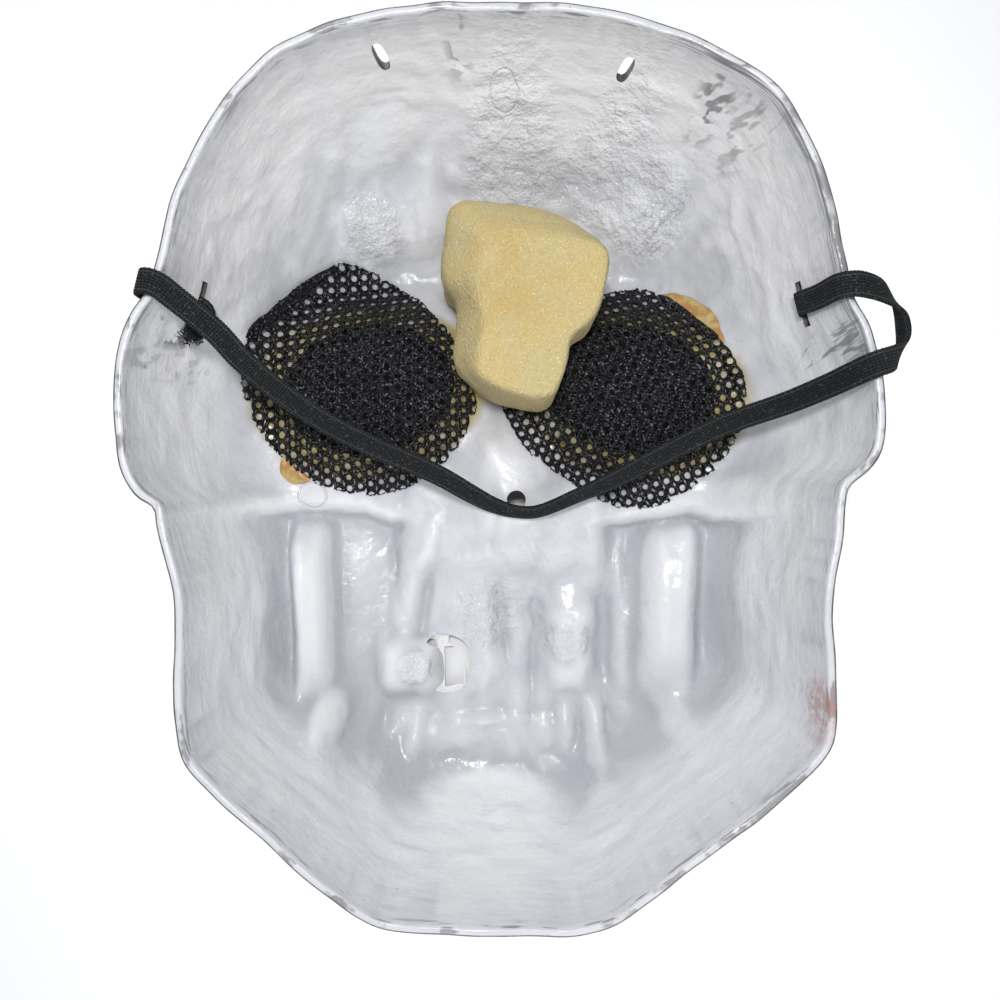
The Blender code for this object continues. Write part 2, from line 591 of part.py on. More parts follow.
def make_strap():
    """The flat elastic: a band with thin edges, swept along its middle line."""
    line = open_spline(STRAP_ROUTE, 2)
    path = np.stack([line[:, 0], line[:, 1], RIM_Z - line[:, 2]], axis=1)
    turn, lean = np.radians(line[:, 3]), np.radians(line[:, 4])
    along = np.gradient(path, axis=0)
    along /= np.linalg.norm(along, axis=1, keepdims=True)
    across = np.stack([np.cos(turn) * np.cos(lean), np.sin(turn) * np.cos(lean), np.sin(lean)], axis=1)
    across -= along * np.sum(across * along, axis=1, keepdims=True)
    across /= np.linalg.norm(across, axis=1, keepdims=True)
    face = np.cross(along, across)
    half, thin = STRAP_WIDTH / 2, STRAP_THICKNESS / 2
    section = ((-half, 0), (thin - half, thin), (half - thin, thin),
               (half, 0), (half - thin, -thin), (thin - half, -thin))
    rings = np.stack([path + u * across + v * face for u, v in section], axis=1)
    sides = len(section)
    faces = ring_faces(len(path), sides, 0)
    faces += [tuple(range(sides)), tuple((len(path) - 1) * sides + i for i in range(sides))]
    strap = new_object("elastic_strap", rings.reshape(-1, 3), faces, 40)
    strap.data.materials.append(material("black_elastic", (0.025, 0.027, 0.03), 0.8))
    return path[-1]


def make_knot(strap_end):
    """The knot outside the right slit, face to face with the end of the elastic."""
    mesh = bpy.data.meshes.new("strap_knot")
    shape = bmesh.new()
    bmesh.ops.create_uvsphere(shape, u_segments=10, v_segments=6, radius=0.5)
    shape.to_mesh(mesh)
    shape.free()
    mesh.transform(Matrix.Diagonal((*KNOT, 1)))
    mesh.shade_smooth()
    knot = bpy.data.objects.new("strap_knot", mesh)
    bpy.context.scene.collection.objects.link(knot)
    knot.location = Vector(strap_end) + Vector((KNOT[0] / 2 + KNOT_GAP, 0, 0))
    knot.data.materials.append(material("black_knot", (0.025, 0.027, 0.03), 0.8))


def main():
    for obj in list(bpy.data.objects):
        bpy.data.objects.remove(obj)
    cut_holes(make_shell())
    for side in ("left", "right"):
        make_patch(side)
        make_glue(side)
    make_foam()
    make_knot(make_strap())


main()
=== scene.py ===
"""A moulded skull mask that lies face down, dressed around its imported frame."""

import math
import random

import bmesh
import bpy
import numpy as np
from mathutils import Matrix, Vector, noise
from mathutils.bvhtree import BVHTree


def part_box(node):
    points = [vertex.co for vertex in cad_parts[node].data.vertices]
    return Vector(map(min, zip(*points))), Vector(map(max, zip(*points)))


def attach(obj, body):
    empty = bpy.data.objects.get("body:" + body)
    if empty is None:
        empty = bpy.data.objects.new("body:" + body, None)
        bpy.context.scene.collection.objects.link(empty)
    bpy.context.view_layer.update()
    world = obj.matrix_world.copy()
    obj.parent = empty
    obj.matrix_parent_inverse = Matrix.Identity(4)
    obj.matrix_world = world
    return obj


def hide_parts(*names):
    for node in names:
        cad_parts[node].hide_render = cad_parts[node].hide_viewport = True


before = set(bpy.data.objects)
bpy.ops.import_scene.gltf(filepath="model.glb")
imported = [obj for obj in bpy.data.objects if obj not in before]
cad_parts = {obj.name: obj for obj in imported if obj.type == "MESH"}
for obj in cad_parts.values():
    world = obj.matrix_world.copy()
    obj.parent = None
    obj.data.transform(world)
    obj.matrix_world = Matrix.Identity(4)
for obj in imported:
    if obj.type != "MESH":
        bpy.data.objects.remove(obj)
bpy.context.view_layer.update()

# The camera looks straight down from just over the hollow, a little below its middle, as the
# photo was taken. The photo's width covers the sensor.
RIM_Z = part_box("mask_shell")[1][2]
CAMERA_UP = -0.0080
CAMERA_OVER_RIM = 0.1965
SENSOR = 36.0
LENS = 27.0


def set_out(name, data):
    """An object that shows this data, put into the scene."""
    made = bpy.data.objects.new(name, data)
    bpy.context.scene.collection.objects.link(made)
    return made


camera_lens = bpy.data.cameras.new("view")
camera_lens.sensor_fit = "HORIZONTAL"
camera_lens.sensor_width = SENSOR
camera_lens.lens = LENS
camera_lens.clip_start = 0.01
camera = set_out("view", camera_lens)
camera.location = (0, CAMERA_UP, RIM_Z + CAMERA_OVER_RIM)
bpy.context.scene.camera = camera

# The shell is one thin skin of white plastic, drawn over a skull form by heat and vacuum. Its
# inside is left bare and glossy, with the ripples and lumps of the drawing, and the spray of
# the painted face has dusted the edge of the rim.
RIM_WIDTH = 0.2033
RIM_HEIGHT = 0.2457
FACE_DEPTH = 0.0760
WALL = 0.0022
EYE_SPACING = 0.0860
EYE_UP = 0.0290
SOCKET_RISE = 0.0250
SOCKET_SIZE = (0.0780, 0.0640)
SOCKET_EDGE = 3.4
EYE_HOLE = (0.0500, 0.0370)
EYE_TURN = 14.0
NOSE_RISE = 0.0200
NOSE_SIZE = (0.0420, 0.0520)
NOSE_PLACE = (0.0030, -0.0020)
NOSE_EDGE = 2.3
NOSE_HOLE = 0.0064
NOSE_HOLE_PLACE = (0.0055, -0.0080)
TOOTH_GAP = (0.0072, 0.0150)
TOOTH_GAP_PLACE = (-0.0165, -0.0680)
# The outline of the cut pocket round the gap, in millimetres from the gap's middle.
TOOTH_POCKET = (
    (-9.8, 9.0), (-6.8, 11.2), (-2.9, 11.7), (1.1, 10.8), (4.3, 8.3), (5.7, 4.0), (5.9, -0.7),
    (5.1, -5.0), (2.5, -8.3), (-1.8, -9.7), (-5.7, -9.3), (-7.2, -8.3), (-4.7, -6.5),
    (-3.6, -3.2), (-3.8, 0.4), (-4.5, 4.3), (-6.5, 7.2),
)
CROWN_SLOT = (0.0034, 0.0100)
CROWN_SLOTS = ((-1, -0.330, 0.0149), (1, 0.353, 0.0181))
CROWN_SLOT_LEAN = 12.0
TEMPLE_SLIT = (0.0130, 0.0026)
TEMPLE_SLIT_DROP = 0.0220
TEMPLE_SLIT_UP = 0.0490
HALF_WIDTH = RIM_WIDTH / 2
HALF_HEIGHT = RIM_HEIGHT / 2
STATIONS = 384
RINGS = 116

# The rim's outline in shares of its half sizes, and how full the wall is at each bearing.
RIM_OUTLINE = (
    (0.000, 1.000), (-0.205, 0.998), (-0.412, 0.966), (-0.577, 0.908), (-0.686, 0.823),
    (-0.760, 0.738), (-0.812, 0.652), (-0.856, 0.567), (-0.880, 0.470), (-0.910, 0.396),
    (-0.960, 0.330), (-0.990, 0.255), (-1.000, 0.150), (-0.997, 0.070), (-0.984, 0.005),
    (-0.950, -0.045), (-0.902, -0.075), (-0.889, -0.120), (-0.868, -0.195), (-0.845, -0.280),
    (-0.840, -0.380), (-0.842, -0.470), (-0.838, -0.550), (-0.815, -0.630), (-0.737, -0.705),
    (-0.619, -0.791), (-0.505, -0.876), (-0.366, -0.962), (-0.250, -0.993), (0.000, -0.999),
    (0.120, -1.000), (0.225, -0.998), (0.325, -0.962), (0.466, -0.876), (0.606, -0.791),
    (0.737, -0.705), (0.838, -0.620), (0.866, -0.560), (0.868, -0.450), (0.861, -0.340),
    (0.868, -0.240), (0.887, -0.150), (0.897, -0.070), (0.912, -0.027), (0.960, 0.010),
    (0.990, 0.050), (1.000, 0.120), (0.990, 0.210), (0.962, 0.300), (0.915, 0.375),
    (0.890, 0.470), (0.865, 0.567), (0.835, 0.652), (0.786, 0.738), (0.719, 0.823),
    (0.622, 0.880), (0.515, 0.928), (0.412, 0.958), (0.307, 0.982), (0.180, 0.999),
)
WALL_FULLNESS = (
    (-180, 6.5), (-165, 9.0), (-135, 11.0), (-90, 17.0), (-45, 11.0), (-15, 9.0),
    (0, 6.5), (40, 5.2), (90, 4.6), (140, 5.2), (180, 6.5),
)
TYPICAL_FULLNESS = 8
# Where the cheek breaks off towards the jaw, from the left rim to the right one. The limits
# give where each form starts or ends, and how softly, in shares of the half sizes.
CHEEK_RISE = 0.0150
CHEEK_BREAK = (
    (-0.0950, -0.0060), (-0.0860, -0.0130), (-0.0780, -0.0128), (-0.0680, -0.0122),
    (-0.0470, -0.0125), (-0.0390, -0.0160), (0.0000, -0.0180), (0.0326, -0.0175),
    (0.0570, -0.0145), (0.0650, -0.0128), (0.0730, -0.0155), (0.0815, -0.0148), (0.0950, -0.0080),
)
CHEEK_BREAK_SOFTNESS = 0.0018
CHEEK_INNER_LIMIT = (0.30, 0.12)
CHEEK_UPPER_LIMIT = (0.40, 0.16)
JAW_RISE = 0.0120
JAW_MIDDLE = 0.0015
JAW_HALF_WIDTH = 0.350
JAW_SIDE_SOFTNESS = 0.0036
JAW_LOWER_LIMIT = (-0.270, 0.080)
JAW_UPPER_LIMIT = (0.20, 0.10)
# Each form's middle and half sizes in shares of the mask's, its turn, its rise as a share of
# the depth, and how steep its edge is. The raised ones join; the low ones add up.
RAISED = (
    ("cheek_bar_left", -0.636, -0.372, 0.066, 0.262, 2, 0.225, 4.0),
    ("cheek_bar_right", 0.580, -0.362, 0.096, 0.256, -2, 0.215, 4.0),
    ("bar_slope_left", -0.540, -0.380, 0.100, 0.290, 0, 0.045, 2.0),
    ("bar_slope_right", 0.480, -0.380, 0.090, 0.290, 0, 0.055, 2.0),
    ("bar_foot_left", -0.578, -0.662, 0.060, 0.072, -4, 0.205, 3.0),
    ("bar_foot_right", 0.585, -0.640, 0.070, 0.110, 8, 0.110, 2.6),
)
LOW_FORMS = (
    ("forehead", 0.000, 0.780, 0.700, 0.230, 0, 0.050, 2.0),
    ("brow_left", -0.330, 0.540, 0.300, 0.110, 8, -0.090, 2.0),
    ("brow_right", 0.330, 0.540, 0.300, 0.110, -8, -0.090, 2.0),
    ("brow_middle", 0.000, 0.440, 0.100, 0.080, 0, 0.060, 2.0),
    ("forehead_trough", 0.250, 0.800, 0.330, 0.055, -14, -0.035, 2.0),
    ("forehead_lump_left", -0.430, 0.700, 0.130, 0.060, 24, 0.034, 2.4),
    ("forehead_lump_right", 0.470, 0.720, 0.110, 0.050, -36, 0.040, 2.4),
    ("tooth_lump", -0.318, -0.548, 0.096, 0.076, 0, 0.112, 4.4),
    ("tooth_lump_step", -0.405, -0.540, 0.036, 0.100, 4, 0.032, 3.2),
    ("tooth_neck", -0.330, -0.360, 0.050, 0.130, -8, 0.044, 3.0),
    ("tooth_neck_fold", -0.262, -0.350, 0.024, 0.130, -6, -0.026, 2.2),
    ("gap_lump", -0.120, -0.400, 0.120, 0.130, 10, 0.040, 3.0),
    ("gap_lump_low", -0.060, -0.560, 0.090, 0.080, -14, 0.040, 3.0),
    ("tooth_block", 0.248, -0.482, 0.074, 0.145, 0, 0.086, 4.6),
    ("tooth_block_hollow", 0.240, -0.470, 0.030, 0.060, 0, -0.007, 3.0),
    ("tooth_block_foot", 0.245, -0.590, 0.066, 0.026, 0, 0.018, 4.0),
    ("tooth_root_left", 0.010, -0.440, 0.030, 0.120, 6, -0.026, 2.4),
    ("tooth_root_right", 0.120, -0.500, 0.026, 0.150, -3, -0.030, 2.4),
    ("tooth_root_far", 0.370, -0.480, 0.030, 0.150, 0, -0.036, 2.4),
    ("tooth_root_edge", 0.425, -0.470, 0.022, 0.170, 0, 0.022, 2.4),
    ("tooth_fold_low", 0.330, -0.740, 0.034, 0.100, 0, 0.052, 4.0),
    ("tooth_fold_mid", 0.230, -0.720, 0.026, 0.070, 3, 0.034, 2.6),
    ("tooth_fold_left", -0.300, -0.760, 0.030, 0.080, -6, 0.030, 2.6),
    ("tooth_fold_far", -0.420, -0.730, 0.026, 0.090, -10, -0.032, 2.6),
    ("nose_bump", -0.030, 0.075, 0.040, 0.040, 20, 0.026, 2.5),
    ("nose_fold", -0.010, -0.185, 0.300, 0.018, 2, -0.008, 2.0),
    ("nose_lip", -0.060, -0.235, 0.170, 0.030, 6, 0.012, 2.0),
    ("nose_side_left", -0.250, -0.215, 0.030, 0.090, -12, 0.040, 2.6),
    ("cheek_crease_left", -0.372, -0.250, 0.014, 0.120, 8, -0.024, 2.0),
    ("cheek_crease_right", 0.440, -0.280, 0.016, 0.120, -4, -0.018, 2.0),
    ("cheek_round_left", -0.700, 0.060, 0.110, 0.060, 0, 0.024, 2.2),
    ("cheek_round_right", 0.560, -0.050, 0.120, 0.060, 0, 0.026, 2.2),
    ("socket_foot_left", -0.640, -0.020, 0.120, 0.040, 0, 0.020, 2.2),
    ("bar_head_right", 0.655, -0.150, 0.070, 0.050, 0, 0.018, 2.4),
    ("chin_dip", 0.000, -0.760, 0.360, 0.055, 0, 0.016, 2.4),
    ("chin_fold", -0.060, -0.712, 0.110, 0.014, 0, 0.024, 2.4),
    ("chin", -0.050, -0.875, 0.270, 0.085, 0, -0.044, 2.6),
    ("chin_left", -0.410, -0.850, 0.050, 0.110, 30, 0.050, 2.4),
    ("chin_right", 0.340, -0.860, 0.050, 0.100, -24, 0.044, 2.4),
    ("jaw_fold_left", -0.540, -0.800, 0.030, 0.110, 20, 0.052, 2.6),
)
TOOTH_PITCH = 0.0105
TOOTH_DENT = 0.0003
TEETH = 7
TOOTH_ROWS = ((-0.0560, 0.0120), (-0.0800, 0.0100))


def smooth_step(value):
    return 0.5 + 0.5 * np.tanh(value)


def smooth_run(before, start, end, after, share):
    """Points a share of the way from start to end, on a smooth curve through all four."""
    curve = start + 0.5 * share * (end - before)
    curve = curve + share**2 * (before - 2.5 * start + 2 * end - 0.5 * after)
    return curve + share**3 * (1.5 * (start - end) + 0.5 * (after - before))


def closed_spline(points, steps):
    """Points along a smooth closed curve through the given ones."""
    points = np.array(points, float)
    share = np.linspace(0, 1, steps, endpoint=False)[None, :, None]
    around = [np.roll(points, shift, axis=0)[:, None, :] for shift in (1, 0, -1, -2)]
    return smooth_run(*around, share).reshape(-1, points.shape[1])


def spaced(line, count):
    """A closed line's points moved to even steps along it."""
    line = np.concatenate([line, line[:1]])
    along = np.concatenate([[0], np.cumsum(np.linalg.norm(np.diff(line, axis=0), axis=1))])
    at = np.linspace(0, along[-1], count, endpoint=False)
    return np.stack([np.interp(at, along, line[:, i]) for i in range(line.shape[1])], axis=1)


def form(x, y, across, up, half_across, half_up, turn, rise, edge):
    """One raised or sunk place, squarer where its edge is steep."""
    turn = math.radians(turn)
    dx, dy = x - across * HALF_WIDTH, y - up * HALF_HEIGHT
    along = (dx * math.cos(turn) + dy * math.sin(turn)) / (half_across * HALF_WIDTH)
    over = (dy * math.cos(turn) - dx * math.sin(turn)) / (half_up * HALF_HEIGHT)
    corner = 4 if edge > 3.5 else 2
    away = (np.abs(along) ** corner + np.abs(over) ** corner) ** (1 / corner)
    return rise * FACE_DEPTH * np.exp(-(away ** edge))


def mound(x, y, place, size, turn, rise, edge):
    """Such a place from sizes in metres."""
    halves = (size[0] / RIM_WIDTH, size[1] / RIM_HEIGHT)
    return form(x, y, place[0] / HALF_WIDTH, place[1] / HALF_HEIGHT, *halves, turn,
                rise / FACE_DEPTH, edge)


def relief(x, y):
    """How far the face stands in from its full depth, without the wall round it."""
    big = [form(x, y, *row[1:]) for row in RAISED]
    for side in (-1, 1):
        place = (side * EYE_SPACING / 2, EYE_UP)
        big.append(mound(x, y, place, SOCKET_SIZE, -side * EYE_TURN, SOCKET_RISE, SOCKET_EDGE))
    big.append(mound(x, y, NOSE_PLACE, NOSE_SIZE, 0, NOSE_RISE, NOSE_EDGE))
    start, soft = CHEEK_INNER_LIMIT
    cheek = smooth_step((y - np.interp(x, *np.array(CHEEK_BREAK).T)) / CHEEK_BREAK_SOFTNESS)
    cheek = cheek * smooth_step((np.abs(x) - start * HALF_WIDTH) / (soft * HALF_WIDTH))
    end, soft = CHEEK_UPPER_LIMIT
    cheek = cheek * smooth_step((end * HALF_HEIGHT - y) / (soft * HALF_HEIGHT))
    big.append(CHEEK_RISE * cheek)
    jaw = smooth_step((JAW_HALF_WIDTH * HALF_WIDTH - np.abs(x - JAW_MIDDLE)) / JAW_SIDE_SOFTNESS)
    start, soft = JAW_LOWER_LIMIT
    jaw = jaw * smooth_step((y - start * HALF_HEIGHT) / (soft * HALF_HEIGHT))
    end, soft = JAW_UPPER_LIMIT
    jaw = jaw * smooth_step((end * HALF_HEIGHT - y) / (soft * HALF_HEIGHT))
    big.append(JAW_RISE * jaw)
    joined = np.sum([np.maximum(b, 0) ** 3 for b in big], axis=0) ** (1 / 3)
    low = sum(form(x, y, *row[1:]) for row in LOW_FORMS)
    for middle, half in TOOTH_ROWS:
        row = np.exp(-(np.abs((y - middle) / half) ** 4))
        row = row * smooth_step((TEETH / 2 * TOOTH_PITCH - np.abs(x)) / (0.4 * TOOTH_PITCH))
        low = low - TOOTH_DENT * row * np.cos(2 * math.pi * x / TOOTH_PITCH)
    return joined + low


def lumps(points, scale, seed):
    """Smooth noise at points, from -1 to 1, at a scale in lumps a metre."""
    shift = Vector((seed, 2.3 * seed, 0.7 * seed))
    return np.array([noise.noise(Vector(p) * scale + shift) for p in points])


rim_line = spaced(closed_spline(RIM_OUTLINE, 12) * (HALF_WIDTH, HALF_HEIGHT), STATIONS)
angles = np.arctan2(rim_line[:, 1], rim_line[:, 0])
inner_radii = np.hypot(*rim_line.T) - 1.05 * WALL
fullness = np.interp(np.degrees(angles), *np.array(WALL_FULLNESS, float).T)
# The rings are spaced evenly along a typical wall's curve, not across the face.
steep = 1 - np.linspace(1, 0, 600) ** 2
typical_wall = np.sqrt(1 - steep**TYPICAL_FULLNESS)
run = np.hypot(np.diff(steep) * HALF_WIDTH, np.diff(typical_wall) * FACE_DEPTH)
run = np.concatenate([[0], np.cumsum(run)])
shares = np.interp(np.linspace(0, run[-1], RINGS + 1), run, steep)[1:, None]

hollow = np.zeros((RINGS, STATIONS, 3))
hollow[..., 0] = shares * inner_radii * np.cos(angles)
hollow[..., 1] = shares * inner_radii * np.sin(angles)
wall_part = np.sqrt(np.maximum(1 - shares**fullness, 0))
hollow[..., 2] = RIM_Z - wall_part * (FACE_DEPTH - relief(hollow[..., 0], hollow[..., 1]))


def grid_normals(grid):
    inward = np.concatenate([grid[:1] * (0, 0, 1), grid[:-1]])
    outward = np.concatenate([grid[1:], grid[-1:]])
    normal = np.cross(outward - inward, np.roll(grid, -1, axis=1) - np.roll(grid, 1, axis=1))
    normal *= np.sign(normal[..., 2:] + 1e-12)
    return normal / np.linalg.norm(normal, axis=-1, keepdims=True)


def blurred(normal, times):
    for _ in range(times):
        padded = np.concatenate([normal[:1], normal, normal[-1:]])
        normal = normal + np.roll(normal, 1, axis=1) + np.roll(normal, -1, axis=1)
        normal = normal + padded[:-2] + padded[2:]
        normal /= np.linalg.norm(normal, axis=-1, keepdims=True)
    return normal


# The drawing of the sheet leaves puffy lumps on the flat parts and ripples round the walls,
# and the rim is trimmed by hand, so its outline wanders a little.
SWELL, FINE_SWELL, SOFT_SWELL = 0.00120, 0.00060, 0.00035
RIPPLE = 0.00055
TRIM_WANDER = 0.0022


def puffy(points, scale, seed):
    """Round swellings with creases between them, from 0 to about 1."""
    bent = points * scale + 0.9 * lumps(points, 0.6 * scale, seed + 4)[:, None]
    return np.sqrt(lumps(bent, 1.0, seed) ** 2 + 0.004) * 2.0


hollow_normals = grid_normals(hollow)
flat_points = hollow.reshape(-1, 3)
upright = 1 - hollow_normals[..., 2:].reshape(-1)
crown_part = smooth_step((flat_points[:, 1] - 0.050) / 0.012)
mouth_part = np.exp(-((flat_points[:, 0] / 0.040) ** 4))
mouth_part = mouth_part * smooth_step((-0.012 - flat_points[:, 1]) / 0.008)
lumpy = 0.30 + 0.70 * np.clip(crown_part + mouth_part, 0, 1)
swell = SWELL * puffy(flat_points, 70.0, 3.1) + FINE_SWELL * puffy(flat_points, 165.0, 7.7)
swell = swell * lumpy + SOFT_SWELL * lumps(flat_points, 70.0, 1.4)
ripple_points = flat_points * (75.0, 75.0, 150.0)
ripples = RIPPLE * lumps(ripple_points, 1.0, 5.0) * np.clip(2.2 * upright - 0.4, 0, 1)
ripples = ripples * (1 - 0.55 * crown_part)
fade = np.repeat(np.clip((1 - shares[:, 0]) * 60, 0, 1), STATIONS)
moved = (swell * (1 - 0.6 * upright) + ripples) * fade
hollow = hollow + hollow_normals * moved.reshape(RINGS, STATIONS, 1)
along_rim = closed_spline(np.random.default_rng(4).uniform(-1, 1, (96, 1)), 4)[:, 0]
trim_share = np.clip((shares[:, 0] - 0.93) / 0.07, 0, 1) ** 2
hollow[..., :2] *= 1 + (TRIM_WANDER * trim_share[:, None] * along_rim[None, :])[..., None]
coarse_normals = blurred(grid_normals(hollow), 14)
coarse_normals[-1, :, 2] = 0
coarse_normals /= np.linalg.norm(coarse_normals, axis=-1, keepdims=True)
face = hollow - WALL * coarse_normals
face[..., 2] = np.maximum(face[..., 2], 0.0001)


def ring_faces(rings, stations, start=0):
    """The faces between closed rings of points, one ring after another."""
    faces = []
    for i in range(rings - 1):
        a, b = start + i * stations, start + (i + 1) * stations
        faces += [(a + j, b + j, b + (j + 1) % stations, a + (j + 1) % stations)
                  for j in range(stations)]
    return faces


def piece_from(name, verts, faces, materials=(), slots=None, smooth=True):
    """A mesh piece with its faces turned outwards, riding on the mask."""
    mesh = bpy.data.meshes.new(name)
    mesh.from_pydata([tuple(map(float, v)) for v in verts], [], faces)
    for finish in materials:
        mesh.materials.append(finish)
    if slots is not None:
        mesh.polygons.foreach_set("material_index", slots)
    shape = bmesh.new()
    shape.from_mesh(mesh)
    bmesh.ops.recalc_face_normals(shape, faces=shape.faces)
    shape.to_mesh(mesh)
    shape.free()
    if smooth:
        mesh.shade_smooth()
    piece = set_out(name, mesh)
    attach(piece, "root")
    return piece


class Finish:
    """A node socket that Python's operators work on, and that makes any other node."""

    def __init__(self, tree, socket=None):
        self.tree = tree
        self.socket = socket

    def make(self, kind, settings=None, inputs=None, out=0):
        node = self.tree.nodes.new("ShaderNode" + kind)
        for key, value in (settings or {}).items():
            if key == "stops":
                for i, (at, colour) in enumerate(value):
                    stops = node.color_ramp.elements
                    stop = stops[i] if i < 2 else stops.new(at)
                    stop.position = at
                    stop.color = (*colour, 1)
            else:
                setattr(node, key, value)
        for key, value in (inputs or {}).items():
            self.feed(node.inputs[key], value)
        return Finish(self.tree, node.outputs[out])

    def feed(self, socket, value):
        if isinstance(value, Finish):
            self.tree.links.new(value.socket, socket)
        elif isinstance(value, tuple) and socket.type == "RGBA":
            socket.default_value = (*value, 1)
        else:
            socket.default_value = value

    def sum_of(self, operation, first, second):
        return self.make("Math", {"operation": operation}, {0: first, 1: second})

    def __add__(self, other):
        return self.sum_of("ADD", self, other)

    __radd__ = __add__

    def __sub__(self, other):
        return self.sum_of("SUBTRACT", self, other)

    def __rsub__(self, other):
        return self.sum_of("SUBTRACT", other, self)

    def __mul__(self, other):
        return self.sum_of("MULTIPLY", self, other)

    __rmul__ = __mul__

    def __pow__(self, other):
        return self.sum_of("POWER", self, other)

    def between(self, low, high):
        """0 at low, 1 at high, and smooth between; low may be the larger."""
        limits = {"Value": self, "From Min": low, "From Max": high}
        return self.make("MapRange", {"interpolation_type": "SMOOTHSTEP"}, limits)

    def tint(self, colour, amount):
        """This colour mixed towards another by an amount."""
        return self.colours(self, colour, amount)

    def colours(self, first, second, amount):
        """Two colours mixed by an amount."""
        values = {0: amount, 6: first, 7: second}
        return self.make("Mix", {"data_type": "RGBA"}, values, out=2)

    def stretched(self, x, y, z):
        return self.make("VectorMath", {"operation": "MULTIPLY"}, {0: self, 1: (x, y, z)})

    def speckle(self, scale, detail=2.0, rough=0.5):
        values = {"Vector": self, "Scale": scale, "Detail": detail, "Roughness": rough}
        return self.make("TexNoise", None, values)

    def away(self, x, y, z):
        """The distance from a point."""
        return self.make("VectorMath", {"operation": "DISTANCE"}, {0: self, 1: (x, y, z)}, out=1)

    def parts(self):
        return [self.make("SeparateXYZ", None, {0: self}, out=i) for i in range(3)]


def new_finish(name):
    """A new material, its shader, and the place on the mask as its first socket."""
    made = bpy.data.materials.new(name)
    made.use_nodes = True
    shader = made.node_tree.nodes["Principled BSDF"]
    place = Finish(made.node_tree).make("TexCoord", None, None, out=3)
    return made, shader, place


def dress(shader, place, colour, roughness, height=None, depth=0.0002, strength=1.0):
    """Links what changes over the surface to the shader."""
    place.feed(shader.inputs["Base Color"], colour)
    place.feed(shader.inputs["Roughness"], roughness)
    if height is not None:
        values = {"Height": height, "Distance": depth, "Strength": strength}
        place.feed(shader.inputs["Normal"], place.make("Bump", None, values))


def oval_reach(place_x, place_y, middle, size, turn):
    """1 on an oval's edge and more outside it."""
    turn = math.radians(turn)
    dx, dy = place_x - middle[0], place_y - middle[1]
    along = (dx * math.cos(turn) + dy * math.sin(turn)) * (2 / size[0])
    over = (dy * math.cos(turn) - dx * math.sin(turn)) * (2 / size[1])
    return (along * along + over * over) ** 0.5


def eye_reach(place_x, place_y, side):
    """1 on the edge of an eye hole, where a side of -1 is the left one and 1 the right one."""
    middle = (side * EYE_SPACING / 2, EYE_UP)
    return oval_reach(place_x, place_y, middle, EYE_HOLE, -side * EYE_TURN)


# The hollow's finish: bare glossy plastic, clouded, painted lighter on its steep walls, with
# painted shade in its low places and painted highlights on its high places and in the chin's bowl,
# dusty near the rim, smudged, stained once with red at the right, and olive with old glue round
# each eye.
WHITE = (0.670, 0.675, 0.705)
SMUDGE = (0.19, 0.19, 0.20)
GLUE_OLIVE = (0.42, 0.34, 0.11)
GLUE_BROWN = (0.17, 0.085, 0.035)
# Each smudge's place, reach, strength and slope, each crumpled place with its reach, and the
# middle and size of the two round marks that the mould has left.
SMUDGES = (
    (0.0613, 0.1057, 0.0075, 0.80, -20), (0.0717, 0.0989, 0.0095, 0.50, -24),
    (0.0954, 0.0356, 0.0075, 0.70, 62), (-0.0951, 0.0396, 0.0050, 0.95, 72),
    (-0.0985, 0.0294, 0.0045, 0.70, 80), (-0.0963, 0.0323, 0.0090, 0.28, 64),
    (-0.0115, 0.1202, 0.0060, 0.50, -8), (0.0540, 0.0840, 0.0110, 0.35, 40),
)
CRUMPLED = (
    (0.036, 0.100, 0.022), (0.050, 0.088, 0.018), (-0.043, 0.085, 0.014), (0.004, 0.104, 0.024),
    (-0.004, -0.048, 0.020), (-0.030, -0.067, 0.009), (0.024, -0.058, 0.011),
)
MOULD_MARKS = (((0.0012, 0.1151), (0.0088, 0.0052)), ((-0.0634, -0.0063), (0.0090, 0.0090)))
RED_STAIN = (0.0870, -0.0640, RIM_Z - 0.006)

hollow_white, shader, place = new_finish("hollow_white")
px, py, pz = place.parts()
cloud = place.speckle(55.0, 4.0, 0.6)
fine = place.speckle(420.0, 3.0, 0.55)
streak = place.stretched(50.0, 50.0, 190.0).speckle(1.0, 3.0, 0.6)
facing = place.make("NewGeometry", None, None, out=1).parts()[2]
on_wall = facing.between(0.80, 0.35)
hollow_shade = place.make("Attribute", {"attribute_name": "low_place"}, None, out=2)
white = place.colours(WHITE, (0.56, 0.57, 0.615), cloud.between(0.42, 0.72) * 0.6)
# Steep walls are painted lighter than the floor of the hollow: painted light on the walls.
white = white.tint((0.84, 0.845, 0.865), on_wall * 0.55)
white = white.tint((0.52, 0.53, 0.58), streak.between(0.48, 0.75) * on_wall * 0.40)
# Painted shade darkens the hollow's low places and a painted highlight lightens its high places.
white = white.tint((0.36, 0.37, 0.41), hollow_shade.between(-0.1, 0.9) * 0.55)
white = white.tint((0.90, 0.90, 0.91), hollow_shade.between(0.1, -1.0) * 0.50)
